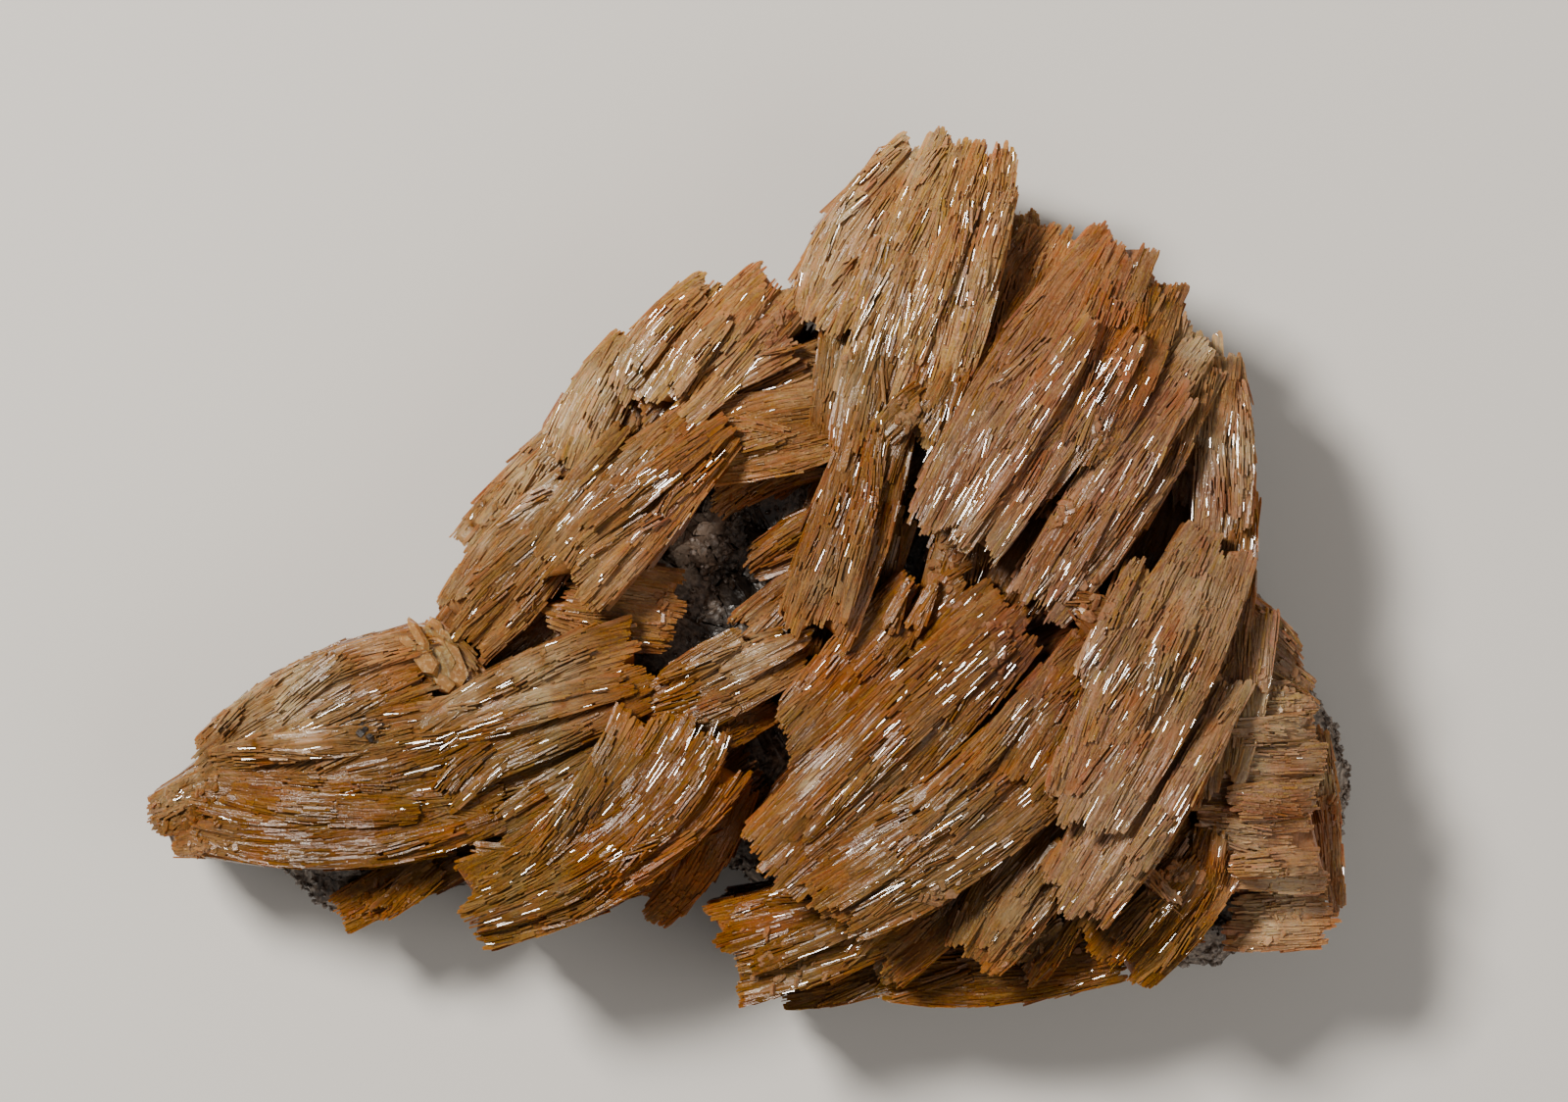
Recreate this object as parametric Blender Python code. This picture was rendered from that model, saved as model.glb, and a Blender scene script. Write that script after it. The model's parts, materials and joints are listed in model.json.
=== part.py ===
"""Barite specimen: a crust of fibrous barite sheaves grown on a lump of dark host rock.

The specimen lies on the flat back of its rock, with the crystals facing up. X runs along its
length, Y across it and Z up from the surface that it rests on. The origin is on the resting face.
Lengths below are in millimetres; MM turns them into Blender's metres.
"""

import math
import random
from collections import namedtuple

import bmesh
import bpy
from mathutils import Matrix, Vector, noise

MM = 0.001
DOWN = Vector((0.0, 0.0, -1.0))
NEARBY = 0.02            # half the stretch of a sheaf over which its direction is measured

BARITE_COLOUR = (0.36, 0.17, 0.07)
BARITE_ROUGHNESS = 0.4
ROCK_COLOUR = (0.035, 0.03, 0.028)
ROCK_ROUGHNESS = 0.65

# Driving dimensions of a sheaf's solid.
BLADE_WIDTH = 3.0        # breadth of one flat-faced blade across a sheaf
LOWER_BLADES = 3         # blades of a sheaf in the lower tier, whose faces are broader
FEWEST_BLADES = 2        # blades of the narrowest sheaf
FEWEST_SPANS = 2         # stretches between the cross-sections of the shortest sheaf
STATION_LENGTH = 12.0    # longest stretch of a sheaf between two of its cross-sections
BLADE_STEP = 0.75        # how far neighbouring blades stand above or below each other
BLADE_RAG = 1.5          # how far a blade's end runs past or stops short of the sheaf's end
BLADE_SLANT = 0.9        # how far a blade's end is cut aslant
BLADE_DRIFT = 0.10       # how far a blade wanders sideways, as a share of its width
GROOVE = 0.16            # share of a blade's width taken by the slope down to its neighbour
CROWN = 0.08             # how far a sheaf's edges fall below its middle, as a share of its width
KEEL = 1.10              # a sheaf's width at its underside, as a share of its top width
UNDERCUT = 0.16          # how far a sheaf's ends lean in towards the underside, as a share of depth
MOST_UNDERCUT = 0.20     # the most that they lean in, as a share of the sheaf's length

# Driving dimensions of the host rock.
KNOB_ROOT = 7.0          # height at which its upstanding lumps are broadest
KNOB_FOOT = 1.0          # height of their undersides, inside the rock
KNOB_DENT = 0.38         # how deep their faces are knocked in, as a share of their size
SEAM = 0.35              # gap between the rock and the barite that covers it

# A sheaf runs from foot to tip. Both are (x, y) at the middle of the sheaf's end. bow moves its
# middle to the left of that run. widths and tops (heights of the upper face) are given at the
# foot, the middle and the tip. depth is its thickness, and roll lifts its left edge, in degrees.
Sheaf = namedtuple("Sheaf", "name foot tip bow widths tops depth roll")

# One blade of a sheaf: each field holds its value at the foot and at the tip.
Blade = namedtuple("Blade", "rises rags slants")

CROWN_SHEAVES = [
    Sheaf("crown_left", (14.5, 45.2), (3.5, 25.5), -1.2, (5.0, 8.5, 7.5), (22, 25, 25), 13, 6),
    Sheaf("crown_middle", (18.0, 45.6), (9.0, 19.0), 0.0, (6.5, 9.0, 8.5), (24, 29, 29), 18, 4),
    Sheaf("crown_right", (21.6, 46.2), (14.5, 19.0), 0.5, (5.0, 7.5, 7.0), (25, 30, 29), 18, 2),
    Sheaf("crown_back", (22.5, 27.0), (28.8, 37.3), 0.0, (7.0, 8.0, 6.5), (22, 23, 21), 16, 0),
    Sheaf("crown_shelf", (24.0, 30.0), (25.3, 38.6), 0.0, (4.0, 5.0, 3.5), (20, 20, 18), 13, 0),
    Sheaf("saddle", (27.5, 31.5), (14.0, 13.5), 0.0, (6.0, 8.5, 6.5), (24, 28, 27), 17, 3),
]
SHOULDER_SHEAVES = [
    Sheaf("shoulder_main", (34.8, 35.8), (16.5, 4.6), 0.0, (7.5, 12.5, 10.0), (27, 34, 36), 23, 7),
    Sheaf("shoulder_side", (39.2, 30.6), (30.0, 12.0), 0.0, (5.5, 8.5, 7.0), (25, 29, 28), 18, 0),
    Sheaf("shoulder_ledge", (43.0, 24.0), (25.8, -2.0), 0.0, (5.5, 8.5, 6.8), (27, 33, 33), 22, 4),
    Sheaf("corner_post", (44.8, 24.8), (44.4, 4.8), 0.5, (3.5, 6.2, 6.0), (23, 27, 28), 16, -4),
    Sheaf("corner_inner", (42.8, 20.0), (41.2, 7.4), 0.0, (3.0, 3.8, 3.0), (24, 24, 23), 14, 0),
]
COLUMN_SHEAVES = [
    Sheaf("column", (10.8, 20.5), (3.0, -4.6), 0.4, (6.5, 8.5, 8.0), (27, 30, 29), 20, 3),
    Sheaf("column_inner", (12.0, 8.0), (7.0, -5.0), 0.0, (3.5, 4.5, 4.0), (23, 23, 22), 13, 0),
    Sheaf("hollow_tongue", (4.0, 6.5), (-4.6, 1.6), 0.0, (4.5, 4.5, 2.5), (20, 19, 18), 7, 0),
    Sheaf("hollow_wedge", (2.5, 0.5), (-5.0, -5.4), 0.0, (4.5, 5.0, 4.0), (24, 23, 22), 12, 0),
]
BREAST_SHEAVES = [
    Sheaf("inner_leaf", (13.5, -0.8), (0.0, -15.6), 0.0, (6.0, 7.0, 5.0), (27, 28, 27), 18, -3),
    Sheaf("inner_tuft", (20.5, 1.2), (12.5, -6.5), 0.0, (5.5, 6.5, 5.0), (27, 28, 27), 17, 0),
    Sheaf("breast_upper", (24.5, -2.2), (-1.6, -28.2), 0.0, (7.5, 10.0, 9.0), (31, 34, 33), 22, -3),
    Sheaf("breast_lower", (33.5, -9.5), (3.2, -32.0), 2.0, (8.0, 11.5, 10.5), (33, 36, 34), 24, 3),
    Sheaf("shoulder_low", (40.5, -0.6), (22.0, -20.0), 0.0, (8.0, 10.5, 8.0), (31, 34, 34), 22, 0),
    Sheaf("keel_leaf", (28.5, -23.5), (18.5, -38.6), 0.0, (6.5, 8.5, 6.0), (31, 31, 29), 20, 3),
    Sheaf("keel_leaf_left", (21.0, -27.0), (8.5, -38.8), 0.0, (6.5, 8.5, 7.0), (28, 28, 26), 17, 0),
]
CREST_SHEAVES = [
    Sheaf("crest_main", (44.5, 4.9), (29.4, -23.6), 0.0, (8.0, 11.5, 8.5), (31, 38, 39), 26, 4),
    Sheaf("crest_lower", (44.0, -9.0), (28.8, -32.6), 0.0, (6.5, 9.5, 8.0), (33, 37, 36), 24, 6),
    Sheaf("crest_edge", (48.0, -0.5), (44.0, -20.5), 0.0, (5.0, 6.5, 4.5), (27, 31, 32), 20, 0),
]
SKIRT_SHEAVES = [
    Sheaf("skirt_left", (14.0, -32.0), (-6.0, -37.6), 0.0, (7.5, 10.0, 11.0), (26, 26, 24), 15, 0),
    Sheaf("skirt_left_low", (13.5, -38.5), (-1.0, -41.8), 0.0, (4.0, 5.0, 4.0), (21, 20, 18), 11, 0),
    Sheaf("skirt_bottom", (36.0, -37.0), (9.5, -40.4), 1.2, (5.0, 5.5, 4.0), (22, 21, 20), 12, 0),
    Sheaf("skirt_right", (44.5, -24.5), (32.5, -38.6), 0.0, (8.0, 11.5, 10.0), (30, 30, 27), 19, 0),
]
SIDE_SHEAVES = [
    Sheaf("side_stack", (42.0, -20.5), (54.6, -20.2), 0.0, (19.0, 21.0, 22.0), (31, 30, 27), 18, 0),
    Sheaf("side_foot", (44.5, -34.3), (56.8, -34.0), 0.0, (5.5, 6.0, 5.0), (23, 23, 21), 13, 0),
    Sheaf("side_rim", (54.0, -14.0), (56.2, -33.5), 0.0, (3.5, 3.8, 3.0), (20, 21, 20), 11, 0),
    Sheaf("side_fringe", (45.5, -4.5), (51.6, -9.2), 0.0, (9.0, 8.5, 6.5), (27, 26, 23), 15, 0),
    Sheaf("side_fringe_low", (48.5, -9.0), (54.6, -13.6), 0.0, (6.5, 6.0, 5.0), (26, 25, 22), 13, 0),
]
BROW_SHEAVES = [
    Sheaf("brow_main", (0.5, 31.8), (-12.2, 18.0), 0.0, (7.5, 8.5, 6.5), (22, 26, 27), 15, 3),
    Sheaf("brow_outer", (-6.8, 31.4), (-16.0, 18.8), -0.8, (4.0, 6.5, 5.0), (20, 23, 23), 13, 0),
    Sheaf("brow_rim", (-14.5, 25.8), (-22.2, 12.6), -0.8, (5.0, 6.5, 6.0), (19, 21, 21), 12, 0),
    Sheaf("brow_chip", (1.5, 28.5), (-4.5, 22.5), 0.0, (3.0, 3.5, 3.0), (21, 21, 20), 9, 0),
    Sheaf("crevice", (10.5, 26.5), (4.5, 16.5), 0.0, (6.0, 6.5, 5.5), (22, 22, 21), 11, 0),
    Sheaf("nose_bridge", (5.0, 23.6), (-6.6, 19.0), 0.0, (4.5, 5.0, 4.0), (23, 24, 23), 13, 0),
    Sheaf("nose", (-9.0, 14.2), (4.8, 17.2), 0.0, (7.5, 9.0, 8.0), (25, 26, 25), 16, 0),
    Sheaf("lip", (4.0, 13.2), (-8.0, 8.0), -1.0, (3.5, 4.0, 4.0), (22, 21, 20), 6, 0),
]
CHEEK_SHEAVES = [
    Sheaf("cheek_main", (-7.0, 17.2), (-22.6, 0.4), 0.0, (7.5, 9.5, 9.0), (27, 29, 27), 16, 4),
    Sheaf("pale_rim", (-19.0, 18.5), (-32.4, 3.6), 0.0, (4.5, 6.0, 5.0), (20, 20, 18), 11, 0),
    Sheaf("jaw", (-21.5, 9.0), (-33.4, -5.0), 0.0, (7.5, 9.5, 8.0), (24, 24, 22), 14, 0),
    Sheaf("palate", (-24.0, -0.5), (-10.4, -2.8), 0.0, (7.0, 9.0, 8.0), (22, 22, 21), 12, 0),
    Sheaf("glassy_bit", (-37.6, -4.6), (-31.5, -12.5), 0.0, (5.0, 6.5, 6.5), (21, 21, 21), 12, 0),
]
WING_SHEAVES = [
    Sheaf("wing_main", (-60.0, -22.4), (-29.6, -19.6), -2.2, (8.5, 11.0, 10.5), (22, 26, 26), 15, 0),
    Sheaf("wing_upper", (-59.6, -19.0), (-35.8, -8.2), 1.6, (6.5, 9.5, 8.5), (20, 24, 24), 13, -5),
    Sheaf("wing_end", (-57.0, -22.4), (-64.6, -24.6), 0.0, (9.0, 8.5, 6.0), (20, 20, 17), 11, 0),
    Sheaf("wing_back", (-37.0, -18.0), (-13.6, -7.4), 0.6, (8.5, 11.0, 9.5), (25, 27, 25), 15, -3),
    Sheaf("wing_keel", (-33.5, -27.5), (-45.6, -33.4), 0.0, (4.5, 5.0, 4.0), (20, 19, 17), 9, 0),
    Sheaf("fan_main", (-32.4, -32.6), (-9.4, -14.4), -3.2, (9.0, 12.5, 15.5), (26, 31, 30), 20, 0),
    Sheaf("fan_heel", (-15.5, -17.0), (-28.8, -24.8), 0.0, (5.5, 6.0, 4.5), (26, 27, 26), 17, 0),
    Sheaf("fan_skirt", (-5.6, -19.6), (-14.2, -32.6), 0.8, (6.5, 7.0, 6.0), (25, 24, 20), 13, 0),
    Sheaf("fringe", (-15.0, -14.0), (2.9, -5.4), 0.0, (6.5, 7.0, 4.5), (25, 26, 25), 15, 0),
    Sheaf("fringe_low", (-8.5, -15.0), (-0.4, -11.0), 0.0, (5.5, 5.5, 4.0), (24, 23, 21), 13, 0),
]
# The lower tier, seen only at the bottom of the crevices between the upper sheaves.
LOWER_SHEAVES = [
    Sheaf("low_crown", (25.0, 35.0), (8.5, 12.0), 0.0, (12.0, 17.0, 14.0), (18, 21, 21), 13, 0),
    Sheaf("low_shoulder", (38.0, 27.0), (20.5, -3.5), 0.0, (13.0, 20.0, 15.0), (20, 25, 25), 17, 0),
    Sheaf("low_corner", (44.5, 19.0), (37.0, -1.0), 0.0, (6.0, 9.0, 11.0), (20, 21, 22), 13, 0),
    Sheaf("low_breast", (35.0, -2.0), (4.5, -30.5), 0.0, (17.0, 25.0, 17.0), (24, 27, 24), 19, 0),
    Sheaf("low_crest", (47.5, -4.0), (30.0, -34.0), 0.0, (14.0, 22.0, 18.0), (23, 27, 24), 19, 0),
    Sheaf("low_skirt", (44.0, -31.5), (3.5, -37.5), 0.0, (10.0, 9.0, 6.0), (18, 19, 17), 12, 0),
    Sheaf("low_wing", (-56.5, -23.5), (-14.0, -15.5), -1.0, (7.0, 15.0, 16.0), (16, 20, 20), 12, 0),
    Sheaf("low_fan", (-30.5, -29.5), (-3.5, -16.5), -1.5, (6.0, 12.0, 12.0), (17, 20, 19), 12, 0),
    Sheaf("low_brow", (1.0, 30.0), (-16.5, 12.5), 0.0, (9.0, 12.0, 9.0), (16, 19, 19), 12, 0),
    Sheaf("low_cheek", (-13.5, 13.5), (-32.0, -8.0), 0.0, (8.0, 13.0, 12.0), (18, 19, 17), 12, 0),
    Sheaf("low_nose", (6.5, 22.0), (-4.0, 12.5), 0.0, (9.0, 11.0, 10.0), (19, 19, 19), 12, 0),
    Sheaf("low_column", (8.0, 14.0), (1.5, -8.0), 0.0, (8.0, 8.0, 7.0), (18, 19, 18), 12, 0),
]
SHEAVES = (
    CROWN_SHEAVES + SHOULDER_SHEAVES + COLUMN_SHEAVES + BREAST_SHEAVES + CREST_SHEAVES
    + SKIRT_SHEAVES + SIDE_SHEAVES + BROW_SHEAVES + CHEEK_SHEAVES + WING_SHEAVES + LOWER_SHEAVES
)

# The rock's outline, anticlockwise from the tip of the left wing, and the middle it is built about.
ROCK_MIDDLE = (3.0, -14.0)
ROCK_OUTLINE = [
    (-58.0, -25.5), (-54.0, -29.5), (-50.5, -31.8), (-40.0, -31.0), (-30.0, -30.5), (-20.0, -29.0),
    (-11.0, -27.0), (-4.5, -28.5), (2.0, -35.0), (12.0, -40.0), (26.0, -39.5), (38.0, -38.5),
    (45.0, -38.8), (53.0, -34.0), (57.8, -28.5), (59.2, -21.0), (57.6, -15.0), (52.5, -8.0),
    (47.0, 3.5), (46.0, 12.0), (42.5, 20.5), (37.5, 28.5), (28.5, 33.0), (20.0, 41.0),
    (11.0, 38.0), (1.0, 30.0), (-9.0, 26.5), (-17.0, 17.5), (-26.5, 7.0), (-34.5, -2.5),
    (-41.5, -9.5), (-50.0, -17.5), (-56.0, -21.0),
]

# Rings of the rock from its back to the middle of its upper face: share of the outline, height,
# and how far its corners are broken in and out.
ROCK_RINGS = [
    (0.93, 0.0, 0.0), (1.0, 3.0, 1.1), (0.98, 7.5, 1.1), (0.88, 11.0, 1.1), (0.66, 14.0, 1.0),
    (0.30, 15.0, 0.6),
]

# Lumps of rock that stand up where the crust is open: middle, radius, height of the crest, and how
# finely their faces are broken.
Knob = namedtuple("Knob", "name at radius crest facets")
KNOBS = [
    Knob("hollow_peak", (-9.2, 5.4), 6.4, 21.5, 3),
    Knob("hollow_step", (-6.2, -1.8), 6.0, 19.0, 2),
    Knob("hollow_floor", (-11.5, -6.5), 5.4, 17.0, 2),
    Knob("hollow_shelf", (-1.6, 4.6), 5.4, 17.0, 2),
    Knob("gap_grain", (0.6, -9.4), 4.4, 18.5, 2),
    Knob("slit_grain", (12.0, 3.5), 4.6, 16.5, 2),
    Knob("right_flank", (53.2, -21.0), 7.0, 15.5, 2),
    Knob("lower_flank", (42.0, -35.0), 5.6, 13.0, 2),
    Knob("wing_grain", (-47.0, -28.2), 6.0, 12.0, 2),
]


def clear_scene():
    for obj in list(bpy.data.objects):
        bpy.data.objects.remove(obj, do_unlink=True)


def make_material(name, colour, roughness):
    material = bpy.data.materials.new(name)
    material.use_nodes = True
    shader = material.node_tree.nodes["Principled BSDF"]
    shader.inputs["Base Color"].default_value = (*colour, 1.0)
    shader.inputs["Roughness"].default_value = roughness
    shader.inputs["Metallic"].default_value = 0.0
    return material


def make_collection(name, hidden=False):
    collection = bpy.data.collections.new(name)
    bpy.context.scene.collection.children.link(collection)
    collection.hide_render = hidden
    return collection


def add_object(name, bm, collection):
    """Turns a bmesh in millimetres into an object in metres."""
    bmesh.ops.recalc_face_normals(bm, faces=bm.faces)
    mesh = bpy.data.meshes.new(name)
    bm.to_mesh(mesh)
    bm.free()
    mesh.transform(Matrix.Scale(MM, 4))
    obj = bpy.data.objects.new(name, mesh)
    collection.objects.link(obj)
    return obj


def hide_cutter(obj):
    obj.hide_render = True
    obj.display_type = "WIRE"


def through(values, u):
    """The parabola through three values at u = 0, 0.5 and 1."""
    start, middle, end = values
    return (
        start * (1 - u) * (1 - 2 * u)
        + middle * 4 * u * (1 - u)
        + end * u * (2 * u - 1)
    )


def spine_point(sheaf, u):
    """The middle of a sheaf's upper face at share u of the way from foot to tip."""
    foot, tip = Vector(sheaf.foot), Vector(sheaf.tip)
    run = (tip - foot).normalized()
    left = Vector((-run.y, run.x))
    middle = (foot + tip) / 2 + left * sheaf.bow
    return Vector((
        through((foot.x, middle.x, tip.x), u),
        through((foot.y, middle.y, tip.y), u),
        through(sheaf.tops, u),
    ))


def sheaf_axes(sheaf, u):
    """Unit vectors along, to the left of, and out of the upper face at share u."""
    along = (spine_point(sheaf, u + NEARBY) - spine_point(sheaf, u - NEARBY)).normalized()
    left = Vector((-along.y, along.x, 0.0)).normalized()
    turn = Matrix.Rotation(math.radians(sheaf.roll), 3, along)
    left = turn @ left
    return along, left, along.cross(left)


def scatter(dice, spread, count):
    return [dice.uniform(-spread, spread) for _ in range(count)]


def shape_blades(dice, count):
    """How each blade rises above its neighbours, runs past them and is cut aslant, at both ends."""
    return [
        Blade(scatter(dice, BLADE_STEP, 2), scatter(dice, BLADE_RAG, 2), scatter(dice, BLADE_SLANT, 2))
        for _ in range(count)
    ]


def sheaf_ring(bm, sheaf, blades, dice, u, inset):
    """One cross-section: for each blade two corners of its upper face, and the two under them."""
    along, left, out = sheaf_axes(sheaf, u)
    level_along = Vector((along.x, along.y, 0.0)).normalized()
    level_left = Vector((-level_along.y, level_along.x, 0.0))
    middle = spine_point(sheaf, u)
    half = through(sheaf.widths, u) / 2
    drifts = [0.0, *scatter(dice, BLADE_DRIFT, len(blades) - 1), 0.0]
    end = {0.0: 0, 1.0: 1}.get(u)
    outwards = 1 if end else -1
    upper, under = [], []
    for index, blade in enumerate(blades):
        rise = blade.rises[0] * (1 - u) + blade.rises[1] * u
        for side, turn in ((0, 1), (1, -1)):
            reach, lean = 0.0, 0.0
            if end is not None:
                reach = (blade.rags[end] + blade.slants[end] * turn) * outwards
                lean = -inset * outwards
            edge = index + side + drifts[index + side] + turn * GROOVE / 2
            across = 2 * edge / len(blades) - 1
            fall = CROWN * 2 * half * across * across
            top = middle + left * (across * half) + out * (rise - fall) + along * reach
            foot = middle + level_left * (across * half * KEEL) + level_along * (reach + lean)
            foot += DOWN * sheaf.depth
            upper.append(bm.verts.new(top))
            under.append(bm.verts.new(foot))
    return upper, under


def loft(bm, rings):
    """Joins cross-sections of the same number of corners, and closes both ends in strips."""
    for (upper, under), (next_upper, next_under) in zip(rings, rings[1:]):
        loop = upper + under[::-1]
        next_loop = next_upper + next_under[::-1]
        for i in range(len(loop)):
            j = (i + 1) % len(loop)
            bm.faces.new((loop[i], loop[j], next_loop[j], next_loop[i]))
    for upper, under in (rings[0], rings[-1]):
        for i in range(len(upper) - 1):
            bm.faces.new((upper[i], upper[i + 1], under[i + 1], under[i]))
    bmesh.ops.triangulate(bm, faces=bm.faces)


def sheaf_solid(sheaf, collection):
    """A comb-shaped loft: flat-faced blades side by side, each with its own height and ends."""
    dice = random.Random(sheaf.name)
    length = (spine_point(sheaf, 1) - spine_point(sheaf, 0)).length
    count = max(FEWEST_BLADES, round(max(sheaf.widths) / BLADE_WIDTH))
    spans = max(FEWEST_SPANS, math.ceil(length / STATION_LENGTH))
    if sheaf in LOWER_SHEAVES:
        count, spans = LOWER_BLADES, FEWEST_SPANS
    inset = min(UNDERCUT * sheaf.depth, MOST_UNDERCUT * length)
    blades = shape_blades(dice, count)
    bm = bmesh.new()
    loft(bm, [sheaf_ring(bm, sheaf, blades, dice, i / spans, inset) for i in range(spans + 1)])
    solid = add_object(sheaf.name, bm, collection)
    hide_cutter(solid)
    return solid


def swell_out(bm, swell):
    """Moves a closed surface outwards along its corners' normals."""
    bmesh.ops.recalc_face_normals(bm, faces=bm.faces)
    bm.normal_update()
    moved = [vert.co + vert.normal * swell for vert in bm.verts]
    for vert, place in zip(bm.verts, moved):
        vert.co = place


def rock_slab(name, swell, collection):
    """The rock's body: a flat back, a broken edge and a stepped, angular upper face."""
    dice = random.Random("host_rock")
    middle = Vector((*ROCK_MIDDLE, 0.0))
    bm = bmesh.new()
    loops = []
    for share, height, rough in ROCK_RINGS:
        ring = []
        for x, y in ROCK_OUTLINE:
            edge = Vector((x, y, 0.0)) - middle
            point = middle + edge * share
            push = Vector((dice.uniform(-1, 1), dice.uniform(-1, 1), dice.uniform(-1, 1)))
            point += push * rough
            point.z += height
            ring.append(bm.verts.new(point))
        loops.append(ring)
    for ring, following in zip(loops, loops[1:]):
        for i in range(len(ring)):
            j = (i + 1) % len(ring)
            bm.faces.new((ring[i], ring[j], following[j], following[i]))
    bm.faces.new(loops[0])
    bm.faces.new(loops[-1])
    bmesh.ops.triangulate(bm, faces=bm.faces)
    swell_out(bm, swell)
    return add_object(name, bm, collection)


def rock_knob(knob, swell, collection):
    """One broken lump of rock, from an icosphere whose corners are knocked in and out."""
    dice = random.Random(knob.name)
    bm = bmesh.new()
    bmesh.ops.create_icosphere(bm, subdivisions=knob.facets, radius=1.0)
    centre = Vector((*knob.at, KNOB_ROOT))
    size = Vector((knob.radius, knob.radius, knob.crest - KNOB_ROOT))
    for vert in bm.verts:
        dent = 1 - KNOB_DENT * dice.random()
        vert.co = centre + Vector(a * b for a, b in zip(vert.co, size * dent))
        vert.co.z = max(vert.co.z, KNOB_FOOT)
    swell_out(bm, swell)
    return add_object(f"{knob.name}_{'clearance' if swell else 'lump'}", bm, collection)


def rock_body(name, swell, collection, lumps):
    """The slab and its lumps joined in one solid. swell grows it on every side."""
    slab = rock_slab(name, swell, collection)
    for knob in KNOBS:
        hide_cutter(rock_knob(knob, swell, lumps))
    join = slab.modifiers.new("join_lumps", "BOOLEAN")
    join.operation = "UNION"
    join.solver = "MANIFOLD"
    join.operand_type = "COLLECTION"
    join.collection = lumps
    return slab


def crust(parts, sheaves, clearance):
    """All the sheaves grown into one solid, with the rock's place cut out of it."""
    solids = [sheaf_solid(sheaf, sheaves) for sheaf in SHEAVES]
    body = bpy.data.objects.new("barite_crust", solids[0].data.copy())
    parts.objects.link(body)
    sheaves.objects.unlink(solids[0])
    grow = body.modifiers.new("grow_together", "BOOLEAN")
    grow.operation = "UNION"
    grow.solver = "MANIFOLD"
    grow.operand_type = "COLLECTION"
    grow.collection = sheaves
    seat = body.modifiers.new("seat_on_rock", "BOOLEAN")
    seat.operation = "DIFFERENCE"
    seat.solver = "MANIFOLD"
    seat.object = clearance
    return body


def islands(bm):
    """The faces of each separate shell of a mesh."""
    left = set(bm.faces)
    while left:
        shell, waiting = set(), [left.pop()]
        while waiting:
            face = waiting.pop()
            shell.add(face)
            for edge in face.edges:
                if len(edge.link_faces) != 2:
                    continue
                for neighbour in edge.link_faces:
                    if neighbour in left:
                        left.remove(neighbour)
                        waiting.append(neighbour)
        yield shell


def keep_largest_shell(obj):
    """Applies an object's modifiers, then drops loose chips and sealed pockets inside it."""
    graph = bpy.context.evaluated_depsgraph_get()
    mesh = bpy.data.meshes.new_from_object(obj.evaluated_get(graph), depsgraph=graph)
    bm = bmesh.new()
    bm.from_mesh(mesh)
    bmesh.ops.triangulate(bm, faces=bm.faces)
    shells = sorted(islands(bm), key=len, reverse=True)
    offcuts = [face for shell in shells[1:] for face in shell]
    bmesh.ops.delete(bm, geom=offcuts, context="FACES")
    bm.to_mesh(mesh)
    bm.free()
    obj.modifiers.clear()
    obj.data = mesh


def main():
    clear_scene()
    parts = make_collection("barite_specimen")
    sheaves = make_collection("sheaves", hidden=True)
    lumps = make_collection("rock_lumps", hidden=True)
    clearances = make_collection("rock_clearances", hidden=True)
    swollen_lumps = make_collection("rock_lump_clearances", hidden=True)

    rock = rock_body("host_rock", 0.0, parts, lumps)
    rock.data.materials.append(make_material("dark_host_rock", ROCK_COLOUR, ROCK_ROUGHNESS))
    clearance = rock_body("host_rock_clearance", SEAM, clearances, swollen_lumps)
    hide_cutter(clearance)
    body = crust(parts, sheaves, clearance)
    bpy.context.view_layer.update()
    keep_largest_shell(rock)
    keep_largest_shell(body)
    body.data.materials.append(make_material("honey_barite", BARITE_COLOUR, BARITE_ROUGHNESS))


main()
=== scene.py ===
import json
import math
import random
from collections import namedtuple

import bmesh
import bpy
import numpy as np
from mathutils import Euler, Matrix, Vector, noise
from mathutils.bvhtree import BVHTree

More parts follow.
